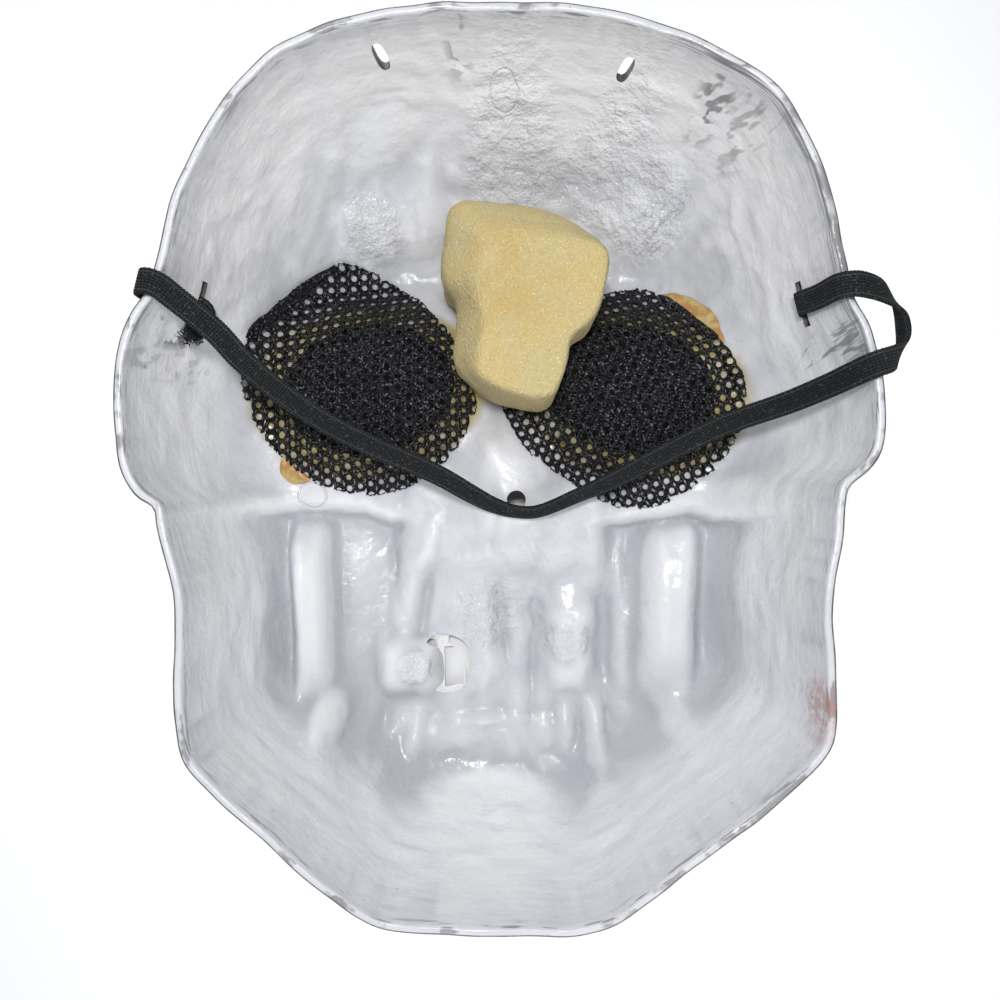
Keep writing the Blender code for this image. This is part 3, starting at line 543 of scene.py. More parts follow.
# A painted highlight lightens the bowl of the chin.
chin_highlight = oval_reach(px, py, (-0.004, -0.1125), (0.056, 0.018), 0)
white = white.tint((0.92, 0.92, 0.93), (chin_highlight + 0.5 * cloud).between(1.4, 0.8) * 0.85)
near_rim = pz.between(RIM_Z - 0.030, RIM_Z - 0.001)
dust = place.speckle(300.0, 5.0, 0.75).between(0.60, 0.72)
dust = dust * place.speckle(42.0, 2.0).between(0.50, 0.68)
white = white.tint(SMUDGE, dust * near_rim * 0.75)
seen_flat = place.stretched(1, 1, 0)
for smudge_x, smudge_y, reach, amount, slope in SMUDGES:
    slope = math.radians(slope)
    spot = seen_flat.away(smudge_x, smudge_y, 0).between(reach, 0.35 * reach)
    long_way = px * (150 * math.cos(slope)) + py * (150 * math.sin(slope))
    short_way = py * (620 * math.cos(slope)) - px * (620 * math.sin(slope))
    strokes = place.make("CombineXYZ", None, {0: long_way, 1: short_way, 2: pz * 60})
    white = white.tint(SMUDGE, spot * strokes.speckle(1.0, 2.0, 0.6).between(0.52, 0.60) * amount)
rim_lines = place.stretched(40.0, 40.0, 1300.0).speckle(1.0, 2.0, 0.5).between(0.50, 0.58)
rubbed = pz.between(RIM_Z - 0.0060, RIM_Z - 0.0015) * px.between(0.030, 0.060)
rubbed = rubbed * py.between(0.020, 0.050)
white = white.tint((0.16, 0.16, 0.165), rim_lines * rubbed * 0.85)
edge_flecks = place.stretched(90.0, 90.0, 700.0).speckle(1.0, 3.0, 0.6).between(0.53, 0.63)
edge_flecks = edge_flecks * pz.between(RIM_Z - 0.0055, RIM_Z - 0.0010)
white = white.tint((0.24, 0.24, 0.25), edge_flecks * 0.85)
stain = place.away(*RED_STAIN).between(0.013, 0.003)
white = white.tint((0.50, 0.20, 0.15), stain * fine.between(0.35, 0.60) * 0.6)
for side in (-1, 1):
    ring = eye_reach(px, py, side)
    wobble = place.speckle(90.0, 2.0)
    ring_share = ring + 0.30 * wobble
    glue = ring_share.between(1.84, 1.58) * ring.between(0.9, 1.05)
    white = white.tint(GLUE_OLIVE, glue * wobble.between(0.20, 0.50) * 0.92)
    white = white.tint(GLUE_BROWN, glue * place.speckle(160.0, 2.0).between(0.56, 0.70) * 0.85)
crumple = 0
for spot_x, spot_y, reach in CRUMPLED:
    crumple = seen_flat.away(spot_x, spot_y, 0).between(reach, 0.3 * reach) + crumple
crumple = crumple.between(0.0, 1.0)
mark = 0
for middle, size in MOULD_MARKS:
    mark_reach = oval_reach(px, py, middle, size, 0)
    mark = mark_reach.between(0.86, 0.95) * mark_reach.between(1.08, 0.99) + mark
height = cloud * 0.7 + fine * 0.10 + place.speckle(140.0, 3.0, 0.6) * 0.5
height = height + streak * on_wall * 0.4 + crumple * place.speckle(210.0, 4.0, 0.62) * 2.6
height = height - mark * 0.35
gloss = 0.25 + 0.20 * place.speckle(75.0, 3.0).between(0.35, 0.70) - 0.10 * crumple
dress(shader, place, white, gloss, height, 0.0012, 0.8)
shader.inputs["Specular IOR Level"].default_value = 0.5

# The face side is sprayed bone white and shaded grey in its hollows and towards the rim.
BONE = (0.66, 0.63, 0.555)
SHADE = (0.085, 0.082, 0.080)
face_paint, shader, place = new_finish("face_paint")
px, py, pz = place.parts()
cloud = place.speckle(34.0, 4.0, 0.6)
grain = place.speckle(480.0, 4.0, 0.65)
bone = place.colours(BONE, (0.50, 0.45, 0.36), cloud.between(0.45, 0.75) * 0.5)
for side in (-1, 1):
    ring = eye_reach(px, py, side)
    bone = bone.tint(SHADE, (ring + 0.35 * cloud).between(1.75, 1.25) * 0.94)
nose_reach = oval_reach(px, py, NOSE_PLACE, (0.024, 0.032), 0)
bone = bone.tint(SHADE, (nose_reach + 0.3 * cloud).between(1.35, 0.95) * 0.92)
rim_shade = (pz + 0.018 * cloud).between(RIM_Z - 0.018, RIM_Z + 0.006)
bone = bone.tint(SHADE, rim_shade * 0.9)
tooth_line = place.make("Math", {"operation": "COSINE"}, {0: px * (2 * math.pi / TOOTH_PITCH)})
in_teeth = py.between(-0.094, -0.086) * py.between(-0.042, -0.050) * pz.between(0.012, 0.006)
bone = bone.tint(SHADE, tooth_line.between(-0.80, -0.97) * in_teeth * 0.75)
height = cloud * 0.5 + grain * 0.10
dress(shader, place, bone, 0.38 + 0.2 * grain, height, 0.0008, 0.6)

# The rim's trimmed edge shows bare plastic inside and a thin line of grey spray outside, and
# the cut edges of the pocket and the holes are fresh chalky plastic.
sprayed_edge_and_slot_shade, shader, place = new_finish("sprayed_edge_and_slot_shade")
flecks = place.speckle(150.0, 5.0, 0.75)
grey = place.colours((0.075, 0.073, 0.07), (0.30, 0.30, 0.31), flecks.between(0.42, 0.70) * 0.9)
dress(shader, place, grey, 0.5, flecks, 0.0003)

cut_white, shader, place = new_finish("cut_white")
chips = place.speckle(900.0, 3.0, 0.6)
chalk = place.colours((0.83, 0.83, 0.83), (0.68, 0.68, 0.69), chips.between(0.45, 0.7))
dress(shader, place, chalk, 0.75, chips, 0.0002)

# The rim runs from the hollow over a rounded lip to the face side, in short steps.
LIP_STEPS = ((0.12, -0.0002), (0.45, -0.0003), (0.72, -0.0002), (0.92, 0.0001))
BARE_LIP_STEPS = 3
LIP_DROP, HOLLOW_EDGE_DROP, FACE_EDGE_DROP = 0.0003, 0.0004, 0.0006
lip = []
for out_share, drop in LIP_STEPS:
    loop = hollow[-1] * (1 - out_share) + face[-1] * out_share
    loop[:, 2] = RIM_Z - drop - LIP_DROP
    lip.append(loop)
hollow[-1, :, 2] = RIM_Z - HOLLOW_EDGE_DROP
face[-1, :, 2] = RIM_Z - FACE_EDGE_DROP
lip = np.array(lip)
middle_in = np.array([[0, 0, hollow[0, :, 2].mean()]])
middle_out = middle_in - (0, 0, WALL)
shell_verts = np.concatenate(
    [middle_in, hollow.reshape(-1, 3), lip.reshape(-1, 3), face[::-1].reshape(-1, 3), middle_out]
)
loops = 2 * RINGS + len(lip)
shell_faces = [(0, 1 + j, 1 + (j + 1) % STATIONS) for j in range(STATIONS)]
shell_faces += ring_faces(loops, STATIONS, 1)
last = 1 + (loops - 1) * STATIONS
shell_faces += [(last + j, last + STATIONS, last + (j + 1) % STATIONS) for j in range(STATIONS)]
slots = [0] * (STATIONS * (RINGS + BARE_LIP_STEPS))
slots += [2] * (STATIONS * (len(lip) + 1 - BARE_LIP_STEPS))
slots += [1] * (len(shell_faces) - len(slots))
mask_shell = piece_from("mask_shell_skin", shell_verts, shell_faces,
                        (hollow_white, face_paint, sprayed_edge_and_slot_shade, cut_white), slots)
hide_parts("mask_shell")

hollow_tree = BVHTree.FromPolygons([Vector(v) for v in shell_verts[:1 + RINGS * STATIONS]],
                                   shell_faces[:RINGS * STATIONS])
MISSED_HEIGHT = 0.02


def hollow_height(x, y, reach=0.0):
    """The hollow's height at each point, or its highest within a reach of the point."""
    heights = []
    for point_x, point_y in zip(np.atleast_1d(x), np.atleast_1d(y)):
        found = []
        for turn in range(7 if reach else 1):
            off = reach * min(turn, 1)
            start = Vector((point_x + off * math.cos(turn), point_y + off * math.sin(turn), 1))
            hit = hollow_tree.ray_cast(start, Vector((0, 0, -1)))[0]
            found.append(hit.z if hit else MISSED_HEIGHT)
        heights.append(max(found))
    return np.array(heights)


# The holes are cut by hand after the drawing: an oval for each eye, a round one at the nose,
# the missing tooth with its pocket, two slots under the crown and a slit in each temple.
UNDER_SHELL = -0.01
SHARP_ANGLE = 42
TEMPLE_SLIT_LEAN = 3


def prism(outline, low, high):
    """An upright block with this outline."""
    count = len(outline)
    verts = [(x, y, low) for x, y in outline] + [(x, y, high) for x, y in outline]
    faces = [tuple(range(count)), tuple(range(count, 2 * count))]
    faces += [(i, (i + 1) % count, count + (i + 1) % count, count + i) for i in range(count)]
    return verts, faces


def oval(size, sides, place=(0, 0), turn=0.0, power=1.0):
    """An oval's outline, squarer with a power below 1."""
    turn = math.radians(turn)
    points = []
    for i in range(sides):
        a = 2 * math.pi * i / sides
        u = size[0] / 2 * math.copysign(abs(math.cos(a)) ** power, math.cos(a))
        v = size[1] / 2 * math.copysign(abs(math.sin(a)) ** power, math.sin(a))
        points.append((place[0] + u * math.cos(turn) - v * math.sin(turn),
                       place[1] + u * math.sin(turn) + v * math.cos(turn)))
    return points


def cut(outline, low, high, turn=(0, 0, 0), place=(0, 0, 0), finish=cut_white):
    """Takes a block with this outline out of the shell."""
    verts, faces = prism(outline, low, high)
    tool = piece_from("cutting_tool", verts, faces, (finish,), smooth=False)
    tool.rotation_euler = turn
    tool.location = place
    taken = mask_shell.modifiers.new("cut", "BOOLEAN")
    taken.operation = "DIFFERENCE"
    taken.solver = "MANIFOLD"
    taken.object = tool
    bpy.context.view_layer.update()
    seen = mask_shell.evaluated_get(bpy.context.evaluated_depsgraph_get())
    result = bpy.data.meshes.new_from_object(seen)
    mask_shell.modifiers.clear()
    mask_shell.data = result
    bpy.data.objects.remove(tool)


for side in (-1, 1):
    middle = (side * EYE_SPACING / 2, EYE_UP)
    cut(oval(EYE_HOLE, 72, middle, -side * EYE_TURN), UNDER_SHELL, RIM_Z)
cut(oval((NOSE_HOLE, NOSE_HOLE), 36, NOSE_HOLE_PLACE), UNDER_SHELL, RIM_Z)
gap_x, gap_y = TOOTH_GAP_PLACE
half_x, half_y = TOOTH_GAP[0] / 2, TOOTH_GAP[1] / 2
cut([(gap_x - half_x + 0.0003, gap_y - half_y), (gap_x + half_x, gap_y - half_y + 0.0012),
     (gap_x + half_x - 0.0003, gap_y + half_y), (gap_x - half_x, gap_y + half_y - 0.0006)],
    UNDER_SHELL, RIM_Z)
pocket = np.array(TOOTH_POCKET) * 0.001 + TOOTH_GAP_PLACE
pocket_z = float(hollow_height(pocket[:, 0], pocket[:, 1]).min()) - 0.0004
cut([tuple(p) for p in closed_spline(pocket, 4)], pocket_z, RIM_Z)
# The crown slots' walls take the sprayed grey: partly the face's spray, partly painted shade inside
# them.
for side, across, drop in CROWN_SLOTS:
    cut(oval(CROWN_SLOT, 28, power=0.75), 0.0, 0.5 * HALF_HEIGHT,
        (math.radians(-90), math.radians(side * CROWN_SLOT_LEAN), 0),
        (across * HALF_WIDTH, 0.7 * HALF_HEIGHT, RIM_Z - drop), sprayed_edge_and_slot_shade)
# The temple slits' walls take the same grey, partly spray and partly painted shade.
for side in (-1, 1):
    half_x, half_y = 0.15 * HALF_WIDTH, TEMPLE_SLIT[0] / 2
    slit = [(-half_x, -half_y), (half_x, -half_y), (half_x, half_y), (-half_x, half_y)]
    lean = math.radians(side * TEMPLE_SLIT_LEAN)
    cut(slit, -TEMPLE_SLIT[1] / 2, TEMPLE_SLIT[1] / 2, (0, lean, 0),
        (side * 0.88 * HALF_WIDTH, TEMPLE_SLIT_UP, RIM_Z - TEMPLE_SLIT_DROP), sprayed_edge_and_slot_shade)
mask_shell.data.shade_smooth()
mask_shell.data.set_sharp_from_angle(angle=math.radians(SHARP_ANGLE))

# Painted shade lies in the low places of the hollow and a painted highlight on its high places.
# Each point keeps how far it lies below the hollow round it, from a height map with 1 mm steps.
MAP_STEP = 0.001
SHADE_SPREADS = ((0.0030, 0.0016, 0.60), (0.0090, 0.0050, 0.55))
SHADE_FREE_RIM = 0.012


def run_along(grid, kernel, axis):
    """A grid of heights averaged along one of its axes."""
    return np.apply_along_axis(np.convolve, axis, grid, kernel, "same")


map_x = np.arange(-0.110, 0.1101, MAP_STEP)
map_y = np.arange(-0.130, 0.1301, MAP_STEP)
grid_x, grid_y = np.meshgrid(map_x, map_y)
heights = hollow_height(grid_x.ravel(), grid_y.ravel()).reshape(grid_x.shape)
depth_map = np.zeros_like(heights)
for reach, depth, share in SHADE_SPREADS:
    half = round(3 * reach / MAP_STEP)
    kernel = np.exp(-((np.arange(-half, half + 1) * MAP_STEP / reach) ** 2) / 2)
    kernel /= kernel.sum()
    around = run_along(run_along(heights, kernel, 0), kernel, 1)
    depth_map += share * np.clip((around - heights) / depth, -1, 1)
depth_map = np.clip(depth_map, -1, 1)
shell_points = np.zeros(len(mask_shell.data.vertices) * 3)
mask_shell.data.vertices.foreach_get("co", shell_points)
shell_points = shell_points.reshape(-1, 3)
col = (shell_points[:, 0] - map_x[0]) / MAP_STEP
row = (shell_points[:, 1] - map_y[0]) / MAP_STEP
i, j = np.floor(row).astype(int), np.floor(col).astype(int)
u, v = row - i, col - j
low_place = (depth_map[i, j] * (1 - u) * (1 - v) + depth_map[i + 1, j] * u * (1 - v)
             + depth_map[i, j + 1] * (1 - u) * v + depth_map[i + 1, j + 1] * u * v)
below_rim = np.clip((RIM_Z - shell_points[:, 2]) / SHADE_FREE_RIM, 0, 1)
shade_layer = mask_shell.data.attributes.new("low_place", "FLOAT", "POINT")
shade_layer.data.foreach_set("value", (low_place * below_rim).astype(np.float32))

# A patch of black knitted mesh is glued over each eye hole from behind. It is cut by hand, so
# its outline wanders, and its outer edge is doubled where the knit's hem was left on. A finer
# net under it covers the eye hole alone. It is near black and mostly closed, so it also stands
# as painted shade for the dark seen through the eye hole, and its rows of threads carry painted
# glints.
MESH_REACH = 0.0380
MESH_LIFT = 0.0007
MESH_BRIDGE = 0.0016
MESH_WAVE = 0.00016
RAGGED_EDGE = ((0.012, 9), (0.022, 60))
KNIT_PITCH = 0.0036
KNIT_HOLE = 0.00098
HOLE_SIDES = 14
KNIT_THICKNESS = 0.0005
YARN_JOIN = 0.00009
YARN_CRUMB = 0.00004
HEM_WIDTH = 0.0031
HEM_OUTSET = 0.0002
HEM_LIFT = 0.0005
HEM_HEIGHT = 0.00045
HEM_STATIONS = 60
HEM_SIDES = 12
VEIL_MARGIN = 0.0030
VEIL_SIZE = (EYE_HOLE[0] + 2 * VEIL_MARGIN, EYE_HOLE[1] + 2 * VEIL_MARGIN)
VEIL_LIFT = 0.0003
VEIL_BRIDGE = 0.0008
VEIL_RINGS = 10
VEIL_SIDES = 48
PATCHES = {
    "left": {
        "side": -1, "seed": 11, "middle": (-0.0441, 0.0343), "turn": 12.0, "shear": 0.21,
        "hem": (108.0, 166.0),
        "reach": (0.87, 0.82, 0.80, 0.79, 0.84, 0.88, 0.99, 1.07, 1.01, 0.97, 0.95, 0.98,
                  1.02, 1.05, 1.05, 1.05, 1.07, 1.06, 1.06, 1.05, 1.03, 1.01, 0.98, 0.98),
    },
    "right": {
        "side": 1, "seed": 23, "middle": (0.0402, 0.0276), "turn": 15.7, "shear": -0.23,
        "hem": (30.0, 66.0),
        "reach": (1.05, 0.99, 0.96, 0.95, 1.01, 1.05, 1.00, 0.96, 0.93, 0.93, 0.96, 1.03,
                  1.05, 1.00, 0.95, 0.89, 0.87, 0.91, 0.99, 1.04, 1.05, 1.05, 1.07, 1.07),
    },
}

black_knit, shader, place = new_finish("black_knit")
yarn = place.speckle(1500.0, 3.0, 0.7)
loops_seen = place.speckle(700.0, 2.0, 0.6)
black = place.colours((0.003, 0.003, 0.004), (0.030, 0.031, 0.035), yarn.between(0.42, 0.60))
px, py, pz = place.parts()
soaked = 0
for side in (-1, 1):
    ring = eye_reach(px, py, side)
    soaked = ring.between(1.85, 1.50) * ring.between(1.0, 1.12) + soaked
# Grey specks on the yarn are painted highlights, tinted olive where glue has soaked the knit round
# each eye.
yarn_glints = yarn.between(0.56, 0.66) * loops_seen.between(0.42, 0.56)
black = black.tint((0.26, 0.27, 0.29), yarn_glints * 0.9)
black = black.tint((0.20, 0.165, 0.045), soaked * yarn_glints * 0.85)
dress(shader, place, black, 0.75, yarn + loops_seen, 0.0006, 0.9)
shader.inputs["Specular IOR Level"].default_value = 0.12

eye_veil, shader, place = new_finish("eye_veil")
rows = place.stretched(500.0, 1500.0, 700.0).speckle(1.0, 3.0, 0.65)
# The veil is near black, partly its own colour and partly painted shade, with painted glints along
# its rows.
veil_dark_and_glints = place.colours((0.003, 0.003, 0.0035), (0.12, 0.12, 0.13), rows.between(0.54, 0.66) * 0.7)
dress(shader, place, veil_dark_and_glints, 0.8, rows, 0.0004)
shader.inputs["Specular IOR Level"].default_value = 0.1
place.feed(shader.inputs["Alpha"], rows.between(0.30, 0.36))


def all_round(count):
    return np.linspace(0, 2 * math.pi, count, endpoint=False)


def patch_reach(facts, bearings):
    """How far a patch reaches at these bearings, without its ragged edge."""
    table = all_round(len(facts["reach"]))
    return MESH_REACH * np.interp(bearings, table, facts["reach"], period=2 * math.pi)


def ragged_reach(facts, bearing):
    """The same at one bearing, with the raggedness of a cut by hand."""
    ragged = 0
    for amount, scale in RAGGED_EDGE:
        spot = (math.cos(bearing) * scale, math.sin(bearing) * scale, math.radians(facts["turn"]))
        ragged += amount * noise.noise(Vector(spot))
    return patch_reach(facts, bearing) + MESH_REACH * ragged


def from_middle(facts, bearings, out):
    """Points this far out from a patch's middle, seen flat."""
    x = facts["middle"][0] + out * np.cos(bearings)
    return x, facts["middle"][1] + out * np.sin(bearings)


def knit_cells(facts):
    """A ring of yarn round each hole of the knit, out to the patch's edge, seen flat."""
    draw = random.Random(facts["seed"])
    turn = math.radians(facts["turn"])
    row_step = np.array([math.cos(turn), math.sin(turn)])
    next_row = np.array([-math.sin(turn), math.cos(turn)]) + facts["shear"] * row_step
    points, cells = [], []
    span = int(1.3 * MESH_REACH / KNIT_PITCH) + 1
    for i in range(-span, span + 1):
        for j in range(-span, span + 1):
            centre = (i * row_step + j * next_row) * KNIT_PITCH
            limit = ragged_reach(facts, math.atan2(centre[1], centre[0])) + 0.0008
            if math.hypot(*centre) > limit:
                continue
            hole = KNIT_HOLE * draw.uniform(0.82, 1.12)
            lean = draw.uniform(-0.4, 0.4)
            cells += ring_faces(3, HOLE_SIDES, len(points))
            for share in (0.0, 0.35, 1.0):
                for a in all_round(HOLE_SIDES):
                    corner = np.array([math.cos(a), math.sin(a)])
                    corner = corner / max(abs(corner[0]), abs(corner[1])) * 0.5 * KNIT_PITCH
                    out = corner[0] * row_step + corner[1] * next_row
                    ring = np.array([math.cos(a + lean), math.sin(a + lean) * 1.12]) * hole
                    points.append(centre + ring * (1 - share) + out * share)
    points = np.array(points)
    limits = np.array([ragged_reach(facts, math.atan2(y, x)) for x, y in points])
    points *= np.minimum(1, limits / np.maximum(np.hypot(*points.T), 1e-9))[:, None]
    return points + facts["middle"], cells


def knit_hem(name, facts):
    """The doubled edge: a flattened roll along part of a patch's outline."""
    bearings = np.radians(np.linspace(*facts["hem"], HEM_STATIONS))
    taper = np.sin(np.linspace(0.25, math.pi - 0.25, HEM_STATIONS)) ** 0.5
    rows = []
    for bend in all_round(HEM_SIDES):
        inset = HEM_WIDTH * taper * (0.5 - 0.5 * math.cos(bend))
        x, y = from_middle(facts, bearings, patch_reach(facts, bearings) + HEM_OUTSET - inset)
        rise = MESH_LIFT + HEM_LIFT + HEM_HEIGHT * math.sin(bend)
        rows.append(np.c_[x, y, hollow_height(x, y, MESH_BRIDGE) + rise])
    end = (HEM_STATIONS - 1) * HEM_SIDES
    faces = ring_faces(HEM_STATIONS, HEM_SIDES)
    faces += [tuple(range(HEM_SIDES)), tuple(range(end, end + HEM_SIDES))]
    return piece_from(name, np.stack(rows, axis=1).reshape(-1, 3), faces, (black_knit,))


def eye_net(name, side):
    """The finer net, stuck down on the shell just outside the eye hole."""
    centre = (side * EYE_SPACING / 2, EYE_UP)
    flat = np.concatenate([
        oval([share * length for length in VEIL_SIZE], VEIL_SIDES, centre, -side * EYE_TURN)
        for share in np.linspace(0.1, 1, VEIL_RINGS)
    ])
    z = hollow_height(flat[:, 0], flat[:, 1], VEIL_BRIDGE) + VEIL_LIFT
    faces = ring_faces(VEIL_RINGS, VEIL_SIDES) + [tuple(range(VEIL_SIDES))]
    return piece_from(name, np.c_[flat, z], faces, (eye_veil,))


for side, facts in PATCHES.items():
    flat, cells = knit_cells(facts)
    z = hollow_height(flat[:, 0], flat[:, 1], MESH_BRIDGE) + MESH_LIFT
    z += MESH_WAVE * lumps(np.c_[flat, z], 420.0, 2.0)
    patch = piece_from(f"knit_{side}", np.c_[flat, z], cells, (black_knit,))
    shape = bmesh.new()
    shape.from_mesh(patch.data)
    bmesh.ops.remove_doubles(shape, verts=shape.verts, dist=YARN_JOIN)
    bmesh.ops.dissolve_degenerate(shape, edges=shape.edges, dist=YARN_CRUMB)
    shape.to_mesh(patch.data)
    shape.free()
    thick = patch.modifiers.new("yarn", "SOLIDIFY")
    thick.thickness = KNIT_THICKNESS
    thick.offset = 0
    hem = knit_hem(f"knit_hem_{side}", facts)
    veil = eye_net(f"eye_veil_{side}", facts["side"])
    mean_reach = np.mean([ragged_reach(facts, a) for a in all_round(len(facts["reach"]))])
    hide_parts(f"eye_mesh_{side}")

# Glue has run out past the patches: a thick amber flake at the right one's upper edge and a
# small yellow crumb below the left one, both set hard with a thin lip.
AMBER = (0.40, 0.20, 0.055)
CREAM_GLUE = (0.50, 0.39, 0.15)
GLUE_FLAKES = {"left": (225.0, 241.0, 0.98, 1.15), "right": (26.0, 66.0, 0.98, 1.165)}
GLUE_THICKNESS = 0.0010
GLUE_BRIDGE = 0.001
FLAKE_STATIONS = 40
FLAKE_ROWS = 9

old_glue, shader, place = new_finish("old_glue")
cloud = place.speckle(190.0, 3.0, 0.6)
amber = place.colours(CREAM_GLUE, AMBER, cloud.between(0.36, 0.60) * 0.9)
dress(shader, place, amber, 0.22 + 0.2 * cloud, cloud, 0.0009)
shader.inputs["Subsurface Weight"].default_value = 0.2
shader.inputs["Subsurface Radius"].default_value = (0.004, 0.002, 0.001)

for side, (start, end, near, far) in GLUE_FLAKES.items():
    facts = PATCHES[side]
    bearings = np.radians(np.linspace(start, end, FLAKE_STATIONS))
    bulge = np.sin(np.linspace(0.12, math.pi - 0.12, FLAKE_STATIONS)) ** 0.7
    bulge = bulge * (0.85 + 0.25 * lumps(np.c_[bearings, bearings, bearings], 5.0, 4.0))
    top, low = [], []
    for share in np.linspace(0, 1, FLAKE_ROWS):
        out = near + (far - near) * bulge * share
        x, y = from_middle(facts, bearings, patch_reach(facts, bearings) * out)
        crown = math.sin(math.pi * min(share * 0.92 + 0.08, 1.0)) ** 0.5
        under = hollow_height(x, y, GLUE_BRIDGE)
        top.append(np.c_[x, y, under + 0.0003 + GLUE_THICKNESS * crown])
        low.append(np.c_[x, y, np.minimum(under + 0.0002, top[-1][:, 2] - 0.00005)])
    verts = np.concatenate(top + low)
    index = np.arange(FLAKE_ROWS * FLAKE_STATIONS).reshape(FLAKE_ROWS, FLAKE_STATIONS)
    sheet = np.stack([index[:-1, :-1], index[1:, :-1], index[1:, 1:], index[:-1, 1:]], axis=-1)
    sheet = sheet.reshape(-1, 4)
    border = np.concatenate([index[0], index[1:, -1], index[-1, -2::-1], index[-2:0:-1, 0]])
    ahead = np.roll(border, -1)
    lip_faces = np.stack([border, ahead, ahead + index.size, border + index.size], axis=-1)
    faces = np.concatenate([sheet, sheet + index.size, lip_faces]).tolist()
    flake = piece_from(f"glue_flake_{side}", verts, faces, (old_glue,))
    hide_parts(f"glue_{side}")

# A block of cream foam keeps the mask off the wearer's brow. It is cut by hand from a thick
# slab into a T, glued down by its foot, and its cut corners have gone soft and brown.
FOAM_SIZE = (0.0539, 0.0662)
FOAM_PLACE = (0.0073, 0.0552)
FOAM_TOP = RIM_Z - 0.0300
FOAM_SHOULDER = RIM_Z - 0.0440
FOAM_OUTLINE = (
    (-0.43, 0.50, -0.21, 0.25), (-0.19, 0.50, -0.09, 0.28), (0.04, 0.48, 0.06, 0.28),
    (0.21, 0.44, 0.21, 0.26), (0.36, 0.37, 0.34, 0.24), (0.48, 0.29, 0.45, 0.22),
    (0.50, 0.19, 0.49, 0.18), (0.48, 0.08, 0.48, 0.08), (0.44, -0.05, 0.44, -0.05),
    (0.38, -0.14, 0.38, -0.14), (0.28, -0.19, 0.28, -0.19), (0.26, -0.23, 0.26, -0.23),
    (0.25, -0.31, 0.25, -0.31), (0.19, -0.46, 0.19, -0.46), (0.13, -0.50, 0.13, -0.49),
    (0.06, -0.50, 0.06, -0.49), (-0.09, -0.47, -0.09, -0.46), (-0.22, -0.43, -0.20, -0.42),
    (-0.39, -0.33, -0.26, -0.37), (-0.42, -0.24, -0.26, -0.28), (-0.40, -0.13, -0.23, -0.17),
    (-0.40, -0.01, -0.24, -0.10), (-0.41, 0.04, -0.26, -0.04), (-0.48, 0.09, -0.26, 0.02),
    (-0.50, 0.17, -0.25, 0.10), (-0.48, 0.30, -0.23, 0.20),
)
FOAM_STATIONS = 240
CREST_RINGS, SLOPE_RINGS, SIDE_RINGS = 33, 19, 25
FOAM_EASINGS = 26
FOAM_BRIDGE = 0.0035
FOAM_LIFT = 0.0018

cream_foam, shader, place = new_finish("cream_foam")
pores = place.make("TexVoronoi", {"feature": "F1"}, {"Vector": place, "Scale": 1150.0})
fine_pores_and_glints = place.speckle(1500.0, 3.0, 0.7)
mottle = place.speckle(75.0, 3.0, 0.6)
cream = place.colours((0.63, 0.50, 0.225), (0.60, 0.51, 0.26), mottle.between(0.40, 0.62))
browned = place.away(0.0005, 0.060, FOAM_TOP).between(0.026, 0.004)
cream = cream.tint((0.58, 0.42, 0.16), browned * mottle.between(0.75, 0.40) * 0.85)
facing = place.make("NewGeometry", None, None, out=1).parts()[2]
# The foam's sides are painted darker than its top: painted shade.
cream = cream.tint((0.46, 0.37, 0.19), facing.between(0.92, 0.30) * 0.75)
# The pores are painted darker as painted shade in them, and fine specks are painted lighter as
# painted glints.
cream = cream.tint((0.40, 0.28, 0.11), pores.between(0.34, 0.05) * 0.38)
cream = cream.tint((0.97, 0.92, 0.70), fine_pores_and_glints.between(0.58, 0.66) * 0.50)
dress(shader, place, cream, 0.95, pores + fine_pores_and_glints * 0.8, 0.00055, 0.9)
shader.inputs["Subsurface Weight"].default_value = 0.25
shader.inputs["Subsurface Radius"].default_value = (0.006, 0.004, 0.002)

outline = spaced(closed_spline(FOAM_OUTLINE, 10) * (FOAM_SIZE * 2), FOAM_STATIONS)
shoulder = outline[:, :2] + FOAM_PLACE
crest = outline[:, 2:] + FOAM_PLACE
foot_z = hollow_height(shoulder[:, 0], shoulder[:, 1], FOAM_BRIDGE) + FOAM_LIFT
middle, foot = crest.mean(axis=0), shoulder.mean(axis=0)
foam_rings = [np.c_[middle + (crest - middle) * share, np.full(FOAM_STATIONS, FOAM_TOP)]
              for share in np.linspace(0, 1, CREST_RINGS + 1)[1:]]
for share in np.linspace(0, 1, SLOPE_RINGS + 1)[1:]:
    z = np.full(FOAM_STATIONS, FOAM_TOP + (FOAM_SHOULDER - FOAM_TOP) * share)
    foam_rings.append(np.c_[crest + (shoulder - crest) * share, z])
for share in np.linspace(0, 1, SIDE_RINGS + 1)[1:]:
    foam_rings.append(np.c_[shoulder, FOAM_SHOULDER + (foot_z - FOAM_SHOULDER) * share])
foam_rings = np.array(foam_rings)
for _ in range(FOAM_EASINGS):
    padded = np.concatenate([foam_rings[:1], foam_rings, foam_rings[-1:]])
    beside = np.roll(foam_rings, 1, axis=1) + np.roll(foam_rings, -1, axis=1)
    eased = 0.2 * (foam_rings + beside + padded[:-2] + padded[2:])
    foam_rings[1:-1] = eased[1:-1]
foam_verts = np.concatenate([
    foam_rings.reshape(-1, 3), [[*middle, FOAM_TOP]],
    [[*foot, hollow_height(*foot, FOAM_BRIDGE)[0] + FOAM_LIFT]],
])
count = len(foam_rings)
top, low, last = count * FOAM_STATIONS, count * FOAM_STATIONS + 1, (count - 1) * FOAM_STATIONS
foam_faces = ring_faces(count, FOAM_STATIONS)
foam_faces += [(j, (j + 1) % FOAM_STATIONS, top) for j in range(FOAM_STATIONS)]
foam_faces += [(last + j, last + (j + 1) % FOAM_STATIONS, low) for j in range(FOAM_STATIONS)]
